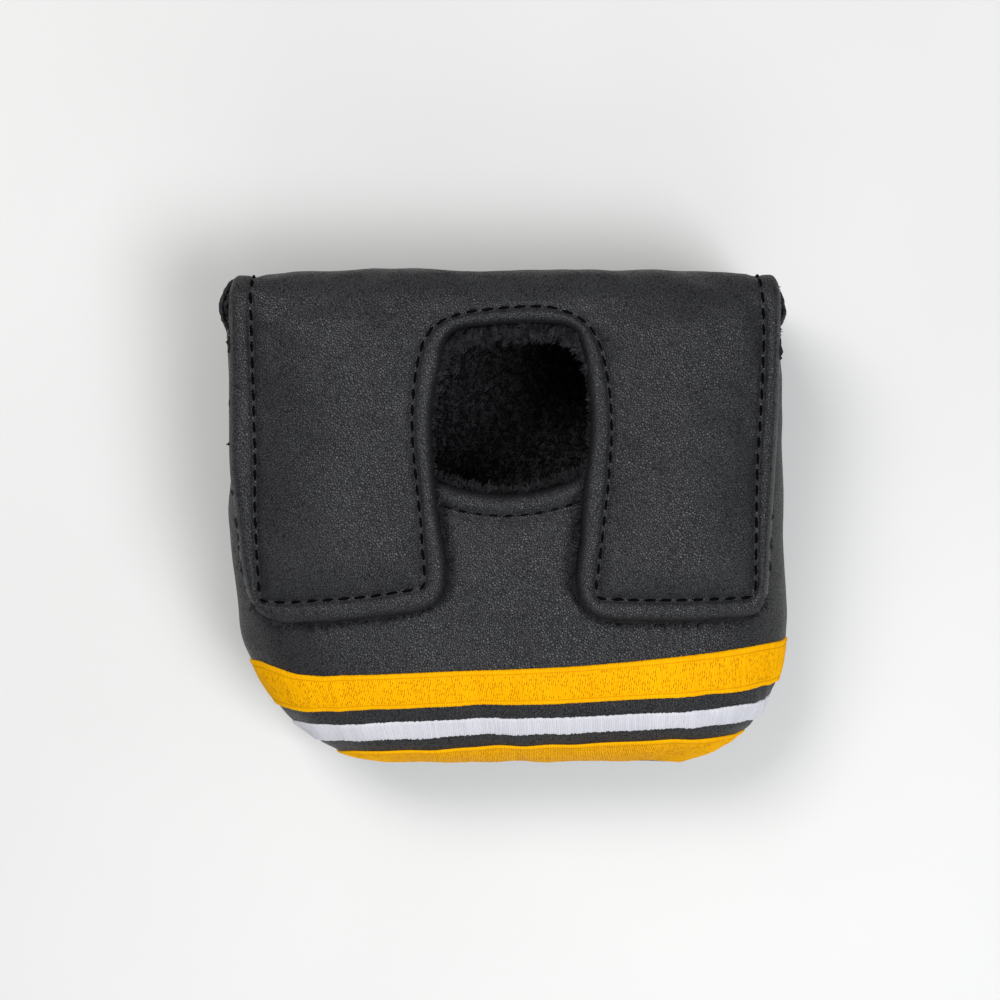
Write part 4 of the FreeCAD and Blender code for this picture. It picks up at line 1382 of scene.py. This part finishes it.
def seam_stitches():
    """Close stitches lying in the groove between the two halves."""
    plan, normals = plan_outline(0.5)
    keep = plan[:, 1] < 48.8
    outer = ring(plan, normals, 0.0, SEAM_Z)[keep]
    out = np.column_stack([normals, np.zeros(len(normals))])[keep]
    line = outer + out * (relief(outer) - 0.72)[:, None]
    spots, along = path_spots(np.hstack([line, out]), False, 2.5)
    places = spots[:, :3]
    centres = skew(places)
    ob = stitches("seam_stitches", centres, skew(places + along[:, :3] * 0.2) - centres,
                  skew(places + spots[:, 3:]) - centres,
                  length=2.1, radius=0.30, lift=0.10, dive=0.30, slant=0.22, seed=8)
    register(ob, "black_thread", "pouch", "perimeter_seam_thread")


seam_stitches()


# ---------------------------------------------------------------------------
# Lining and padding of the flap and front wall
# ---------------------------------------------------------------------------
def crown_under(x, y):
    """Height of the crown below a point of the closed flap, or a low value over the open
    mouth and outside the pouch."""
    low = 20.0
    x, y, _ = unskew(np.column_stack([x, y, np.zeros_like(x)])).T
    lip_y = np.interp(x, MOUTH[:, 0], MOUTH[:, 1])
    is_open = rise(y - lip_y, start=-1.0, span=3.0) * (np.abs(x) < 53)
    z = crown_height(x, y) * (1 - is_open) + low * is_open
    return np.where(rim_distance(x, y) < 0.5, low, z)


def lining_outline():
    """Plush outline: it stands out past the leather most at the head of the slot and a
    little along the free ends."""
    start = OUTLINE + OUTLINE_INWARD * 0.35
    x, v = start.T
    from_slot = np.abs(x - SLOT_X)
    head = rise(v, start=38.5, span=5.5) * (from_slot < 16.5) * (v < 60)
    ends = fall(v, start=-19.0, span=2.0)
    slot_sides = (from_slot < 22) * (v > -14) * (v < 42)
    # at the foot of the slot the plush stands out further: dark fuzz that is partly real plush and
    # partly painted shade beside the legs
    slot_foot_plush_and_shade = ((from_slot < 22) * rise(v, start=-19.0, span=3.0)
                 * fall(v, start=10.0, span=8.0))
    outer = ((np.abs(x) > 58) * rise(v, start=34.0, span=8.0)
             * fall(v, start=62.0, span=6.0))
    stand = 3.6 * head + 0.55 * ends + 0.25 * slot_sides + 1.1 * slot_foot_plush_and_shade + 0.2 * outer
    return resample(start - OUTLINE_INWARD * soften(stand, 6)[:, None], 0.85, True)


LINING = lining_outline()
LINING_INWARD = left_normals(LINING, True)


def lining_height(sheet):
    """Height of the plush face on the sheet, below stitch level."""
    x, v = sheet.T
    inward, _ = path_distance(sheet, LINING)
    level = np.column_stack([sheet, np.zeros(len(sheet))])
    height = -3.05 - 2.0 * smooth(inward / 4.0) * np.where(v > FOLD_END, 0.62, 1.0)
    height += 0.36 * waves(level, length=2.3, seed=71) + 0.22 * waves(level, 6.0, seed=72)
    # the front lining bellies inward behind the head of the slot
    belly = np.exp(-((x - SLOT_X) / 27.0) ** 4) * bell(v, centre=72.0, width=13.0)
    return height - 5.2 * belly


def lining_space(sheet, height):
    """Lining point to space, lifted by up to 4 mm where it would sink into the crown."""
    points = bend(sheet[:, 0], sheet[:, 1], height)
    z = points[:, 2]
    clear = crown_under(points[:, 0], points[:, 1]) + 0.45
    lifted = np.maximum(z, np.minimum(clear, z + 4.0))
    points[:, 2] = np.where(sheet[:, 1] < FOLD_START + 2, lifted, z)
    return points


def flap_plush():
    sheet, faces = fill(LINING, [LINING], 1.15, margin=0.5)
    ob = make("flap_plush", lining_space(sheet, lining_height(sheet)), faces, PLUSH)
    face_out(ob, INSIDE_FLAP)
    ob.data.flip_normals()       # the pile side looks in
    thicken(ob, 1.5)
    register(ob, "plush", "fold", "flap_lining", "front_lining")


def padding(name, area, node, body):
    """Foam under the part of the sheet inside an area and its stitching."""
    chosen = area & (SHEET_DEPTH > 1.4)
    faces = np.array(SHEET_FACES)
    faces = faces[chosen[faces].all(1)]
    used, index = np.unique(faces, return_inverse=True)
    height = np.minimum(SHEET_HEIGHT[used] - 1.3, 1.0)
    ob = make(name, bend(*SHEET[used].T, height), index.reshape(faces.shape), FOAM)
    face_out(ob, INSIDE_FLAP)
    thicken(ob, 1.5)
    register(ob, "foam", body, node)


flap_plush()
sheet_x, sheet_v = SHEET.T
padding("leg_padding_left", (sheet_x < -20.5) & (sheet_v < 46), "flap_foam_left", "flap")
padding("leg_padding_right", (sheet_x > 23.5) & (sheet_v < 46), "flap_foam_right", "flap")
padding("front_padding", sheet_v > FOLD_END + 2.0, "front_foam", "front_wall")

# ---------------------------------------------------------------------------
# Front corners of the pouch: the side leather runs on forward as a doubled,
# raw-edged gusset beside the front wall and shows past the edge of the flap
# ---------------------------------------------------------------------------
GUSSET_FOOT_Z = 2.6
GUSSET_TUCK = {-1: 0.7, 1: 1.8}      # how far the upper part leans in, left and right


def gusset_x(y, z):
    """Half width of the gusset."""
    foot = FOOT_FRONT + 0.35
    curve = foot - np.sqrt(np.maximum(foot ** 2 - np.maximum(foot - z, 0.0) ** 2, 0.0))
    x = (66.25 - curve - 1.5 * rise(y, start=50.6, span=6.2)
         - 2.2 * rise(y, start=55.6, span=2.0) ** 2)
    return x + 0.35 * rise(z, start=36.0, span=10.0) * bell(y, centre=51.5, width=4.5)


def gusset_top(y):
    return 37.0 + 12.6 * rise(y, start=43.8, span=6.2) - 1.4 * rise(y, start=54.0, span=4.0)


def gusset_lean(z):
    return rise(z, start=24.0, span=16.0)


def gusset(name, side, inset, top_drop, thickness, seed):
    rows, columns = 34, 46
    y = np.repeat(np.linspace(44.2, 57.5, rows), columns)
    part = np.tile(np.linspace(0, 1, columns) ** 0.9, rows)
    z = GUSSET_FOOT_Z + (gusset_top(y) - top_drop - GUSSET_FOOT_Z) * part
    points = np.column_stack([gusset_x(y, z) - inset, y, z])
    rim = rise(z, start=38.0, span=8.0)
    points[:, 0] += (0.10 * waves(points, length=14.0, seed=seed)
                     + 0.09 * waves(points, length=3.4, seed=seed + 1) * rim)
    points[:, 2] += 0.26 * rim * waves(points[:, [1, 1, 0]] * [1, 1, 0.2],
                                       length=2.6, seed=seed + 2)
    points[:, 0] -= GUSSET_TUCK[side] * gusset_lean(points[:, 2])
    points[:, 0] *= side
    # the gussets take the lighter copy of the leather, painted light in their shaded place
    ob = make(name, points, grid_faces(rows, columns), PAINTED_LIGHT_LEATHER)
    thicken(ob, thickness, offset=0.0)
    register(ob, "black_leather", "pouch")


for side, tag in ((-1, "left"), (1, "right")):
    gusset("corner_gusset_" + tag, side, inset=0.0, top_drop=0.0, thickness=0.90,
           seed=101 + side)
    gusset("corner_facing_" + tag, side, inset=0.95, top_drop=0.35, thickness=0.85,
           seed=111 + side)

# ---------------------------------------------------------------------------
# Pile: short bent hairs, clumped, standing where the plush shows
# ---------------------------------------------------------------------------
PILE = plush_material("plush_pile", dark=(0.0016, 0.0016, 0.0020), light=(0.044, 0.044, 0.050))
# a lighter copy of the pile: painted light for the pile deep inside the pouch, which lies in shade
PAINTED_LIGHT_PILE = plush_material("plush_pile_painted_light", dark=(0.012, 0.012, 0.0135),
                           light=(0.085, 0.085, 0.092))


def hair_count(full):
    return int(full * (1.0))


def pile(name, roots, directions, length, radius, seed, body, material=PILE):
    """A three-sided bent hair on every root: a ring at its foot, one at its bend, a tip."""
    rng = np.random.RandomState(seed)
    count = len(roots)
    clump = np.column_stack([waves(roots, 2.4, seed + k, count=14) for k in (5, 6, 7)])
    directions = unit(unit(directions) + 0.85 * clump + 0.30 * rng.normal(size=(count, 3)))
    first = unit(np.cross(directions, rng.normal(size=(count, 3))))
    second = np.cross(directions, first)
    tall = directions * (length * rng.uniform(0.55, 1.15, count))[:, None]
    size = np.linalg.norm(tall, axis=1, keepdims=True)
    curl = first * rng.uniform(-1, 1, (count, 1)) + second * rng.uniform(-1, 1, (count, 1))
    curl = curl * size * 0.55
    thick = (radius * rng.uniform(0.75, 1.25, count))[:, None]
    points = np.zeros((count, 7, 3))
    for k in range(3):
        angle = 2 * PI * k / 3
        spoke = (first * math.cos(angle) + second * math.sin(angle)) * thick
        points[:, k] = roots + spoke - directions * 0.2
        points[:, 3 + k] = roots + tall * 0.55 + curl * 0.18 + spoke * 0.85
    points[:, 6] = roots + tall * 0.92 + curl * 0.60
    base = (np.arange(count) * 7)[:, None]
    faces = []
    for face in ((0, 1, 4, 3), (1, 2, 5, 4), (2, 0, 3, 5), (3, 4, 6), (4, 5, 6), (5, 3, 6)):
        faces += (base + np.array(face)).tolist()
    register(make(name, points.reshape(-1, 3), faces, material), "plush", body)


def scatter(points, faces, count, seed, pick):
    """Random points and normals on the faces whose centres are picked."""
    rng = np.random.RandomState(seed)
    triangles = []
    for face in faces:
        triangles.append((face[0], face[1], face[2]))
        if len(face) == 4:
            triangles.append((face[0], face[2], face[3]))
    a, b, c = (points[corner] for corner in np.array(triangles).T)
    chosen = pick((a + b + c) / 3)
    a, b, c = a[chosen], b[chosen], c[chosen]
    cross = np.cross(b - a, c - a)
    area = np.linalg.norm(cross, axis=1)
    i = rng.choice(len(a), count, p=area / area.sum())
    s = np.sqrt(rng.rand(count))[:, None]
    t = rng.rand(count)[:, None]
    places = a[i] * (1 - s) + b[i] * (s * (1 - t)) + c[i] * (s * t)
    return places, cross[i] / area[i][:, None]


def floor_pile():
    """On the plush floor and inner walls seen through the slot."""
    def near_slot(centres):
        x, y, z = centres.T
        return (z < 22) & (np.abs(x - SLOT_X) < 56) & (y > -26)

    points, faces = sole_layer(PLUSH_INSET, step=1.6)
    roots, normals = scatter(points, faces, hair_count(36000), 81, near_slot)
    fade = (fall(np.abs(roots[:, 0] - SLOT_X), start=56.0, span=34.0)
            * rise(roots[:, 1], start=-26.0, span=26.0))
    keep = np.random.RandomState(80).rand(len(roots)) < 0.05 + 0.95 * fade
    roots, normals = roots[keep], normals[keep]
    away = ((np.array([0, 0, 25.0]) - roots) * normals).sum(1, keepdims=True) < 0
    # the floor pile takes the lighter copy: painted light in the shaded pocket
    pile("floor_pile", skew(roots), np.where(away, -normals, normals), length=2.1,
         radius=0.17, seed=82, body="pouch", material=PAINTED_LIGHT_PILE)


def mouth_pile():
    """Round the mouth, standing out from under the lip."""
    rng = np.random.RandomState(83)
    k = rng.randint(0, len(MOUTH), hair_count(8200))
    k = k[np.abs(MOUTH[k, 0]) < 51.5]
    back = rng.uniform(-0.9, 2.2, len(k))
    plan = MOUTH[k] + MOUTH_BACK[k] * back[:, None] + rng.normal(0, 0.15, (len(k), 2))
    above = -4.1 - 2.0 * rng.rand(len(k)) - 0.3 * back
    z = crown_height(plan[:, 0], np.minimum(plan[:, 1], LIP_Y + 3)) + above
    out = np.column_stack([-MOUTH_BACK[k] * 1.25, rng.uniform(-0.45, 0.45, len(k))])
    pile("mouth_pile", skew(np.column_stack([plan, z])), out, length=3.2, radius=0.18,
         seed=84, body="pouch")


def flap_edge_pile():
    """Round the free edges of the flap: slot, rear ends and outer sides."""
    rng = np.random.RandomState(85)
    k = rng.randint(0, len(LINING), hair_count(17000))
    x, v = LINING[k].T
    head = (v > 38) & (v < 60) & (np.abs(x - SLOT_X) < 17)
    ends = v < -17
    outer = (np.abs(x) > 60) & (v > 40) & (v < 60)
    some = (rng.rand(len(k)) < 0.6) & (np.abs(x) < 40)
    keep = (v < 66) & (head | ends | outer | some)
    k, x, v, head, ends, outer = (a[keep] for a in (k, x, v, head, ends, outer))
    depth = np.where(head, 3.0, np.where(outer, 1.8, np.where(ends, 1.5, 1.0)))
    inward = rng.uniform(-0.1, 1.0, len(k)) * depth
    sheet = LINING[k] + LINING_INWARD[k] * inward[:, None]
    height = lining_height(sheet) + rng.uniform(0.0, 1.5, len(k))
    roots = lining_space(sheet, height)
    out = (lining_space(sheet - LINING_INWARD[k] * 0.5, height) - roots) * 2
    down = (lining_space(sheet, height - 0.5) - roots) * 2
    upward = np.where(head | outer, rng.uniform(-1.0, 0.9, len(k)),
                      rng.uniform(-0.2, 0.6, len(k)))
    # longer hairs at the foot of the slot: dark fuzz that is partly real plush and partly painted
    # shade beside the legs
    slot_foot_plush_and_shade = (v < 9) & (np.abs(x) < 30)
    length = np.where(head, 1.7, np.where(ends, 2.0, np.where(
        outer, 0.8, np.where(slot_foot_plush_and_shade, 1.9, 1.25))))
    pile("flap_edge_pile", roots, out - down * upward[:, None] * 0.7, length,
         radius=0.14, seed=86, body="fold")


def slot_head_pile():
    """The upper side of the plush that stands out at the head of the slot."""
    rng = np.random.RandomState(91)
    x, v = LINING.T
    head = np.where((v > 34) & (v < 60) & (np.abs(x - SLOT_X) < 19))[0]
    k = rng.choice(head, hair_count(5200))
    inward = rng.uniform(-0.2, 4.6, len(k))
    sheet = LINING[k] + LINING_INWARD[k] * inward[:, None]
    height = lining_height(sheet) + 1.45
    roots = lining_space(sheet, height)
    out = lining_space(sheet - LINING_INWARD[k] * 0.5, height) - roots
    up = lining_space(sheet, height + 0.5) - roots
    pile("slot_head_pile", roots, out * 1.6 + up * rng.uniform(0.3, 1.6, (len(k), 1)),
         length=2.2, radius=0.17, seed=92, body="fold")


def corner_lint():
    """A little lint along the raw edges of the corner gussets."""
    rng = np.random.RandomState(95)
    count = hair_count(150)
    y = rng.uniform(45.0, 57.0, count)
    z = gusset_top(y) - rng.rand(count) * 1.0
    side = np.where(rng.rand(count) < 0.5, -1.0, 1.0)
    x = gusset_x(y, z) - np.where(side > 0, GUSSET_TUCK[1], GUSSET_TUCK[-1]) * gusset_lean(z)
    roots = np.column_stack([side * (x - rng.rand(count) * 1.3), y, z])
    out = np.column_stack([side * rng.uniform(0.2, 1.0, count), rng.normal(0, 0.4, count),
                           rng.uniform(0.2, 1.0, count)])
    pile("corner_lint", roots, out, length=0.70, radius=0.09, seed=96, body="pouch")


def front_pile():
    """The front lining behind the head of the slot."""
    rng = np.random.RandomState(87)
    count = hair_count(9000)
    sheet = np.column_stack([rng.uniform(-26, 29, count), rng.uniform(58, 100, count)])
    height = lining_height(sheet)
    roots = lining_space(sheet, height)
    inward = (lining_space(sheet, height - 0.5) - roots) * 2 + np.array([0, 0, 0.25])
    # the front pile takes the lighter copy: painted light in the shaded pocket
    pile("front_pile", roots, inward, length=2.1, radius=0.17, seed=88,
         body="front_wall", material=PAINTED_LIGHT_PILE)


floor_pile()
mouth_pile()
flap_edge_pile()
slot_head_pile()
corner_lint()
front_pile()

# ---------------------------------------------------------------------------
# Magnets keep the exact discs of the frame, in brushed nickel
# ---------------------------------------------------------------------------
for node in ("crown_magnet_left", "crown_magnet_right", "flap_magnet_left", "flap_magnet_right"):
    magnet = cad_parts[node]
    for slot in magnet.material_slots:
        slot.material = NICKEL
    if not magnet.material_slots:
        magnet.data.materials.append(NICKEL)


# ---------------------------------------------------------------------------
# Studio, in metres: pale floor, soft light, camera straight above
# ---------------------------------------------------------------------------
def studio_floor():
    shader = Shader("pale_floor")
    tone = shader.noise(scale=3.0, detail=4.0)
    material = shader.surface({
        "Base Color": shader.ramp(tone, (0.3, (0.60, 0.60, 0.59)), (0.7, (0.66, 0.66, 0.65))),
        "Roughness": 0.85})
    half, z = 3.0, -0.0004
    mesh = bpy.data.meshes.new("floor")
    mesh.from_pydata([(-half, -half, z), (half, -half, z), (half, half, z), (-half, half, z)],
                     [], [(0, 1, 2, 3)])
    mesh.materials.append(material)
    link(bpy.data.objects.new("floor", mesh))


def studio_world():
    world = bpy.data.worlds.new("studio")
    bpy.context.scene.world = world
    world.use_nodes = True
    background = world.node_tree.nodes["Background"]
    background.inputs["Color"].default_value = (0.93, 0.95, 1.0, 1.0)
    background.inputs["Strength"].default_value = 0.30


def area_light(name, location, size, power, color):
    """Square light aimed at the middle of the cover."""
    light = bpy.data.lights.new(name, "AREA")
    light.shape = "RECTANGLE"
    light.size = size
    light.size_y = size
    light.energy = power
    light.color = color
    ob = link(bpy.data.objects.new(name, light))
    ob.location = location
    aim = Vector((0, 0, 0.03)) - Vector(location)
    ob.rotation_euler = aim.to_track_quat("-Z", "Y").to_euler()


def studio_camera():
    data = bpy.data.cameras.new("camera")
    camera = link(bpy.data.objects.new("camera", data))
    camera.location = (-0.0011, 0.0058, 0.520)
    data.sensor_width = 36.0
    data.lens = 72.8
    data.clip_start = 0.01
    scene = bpy.context.scene
    scene.camera = camera
    scene.view_settings.view_transform = "Standard"
    scene.view_settings.look = "None"


studio_floor()
studio_world()
area_light("key", (-0.30, 0.36, 0.80), size=0.34, power=4.8, color=(1.0, 0.985, 0.96))
area_light("fill", (0.34, -0.20, 0.80), size=0.36, power=5.6, color=(0.96, 0.98, 1.0))
area_light("rear", (0.05, -0.66, 0.52), size=0.50, power=1.3, color=(1.0, 0.99, 0.97))
studio_camera()
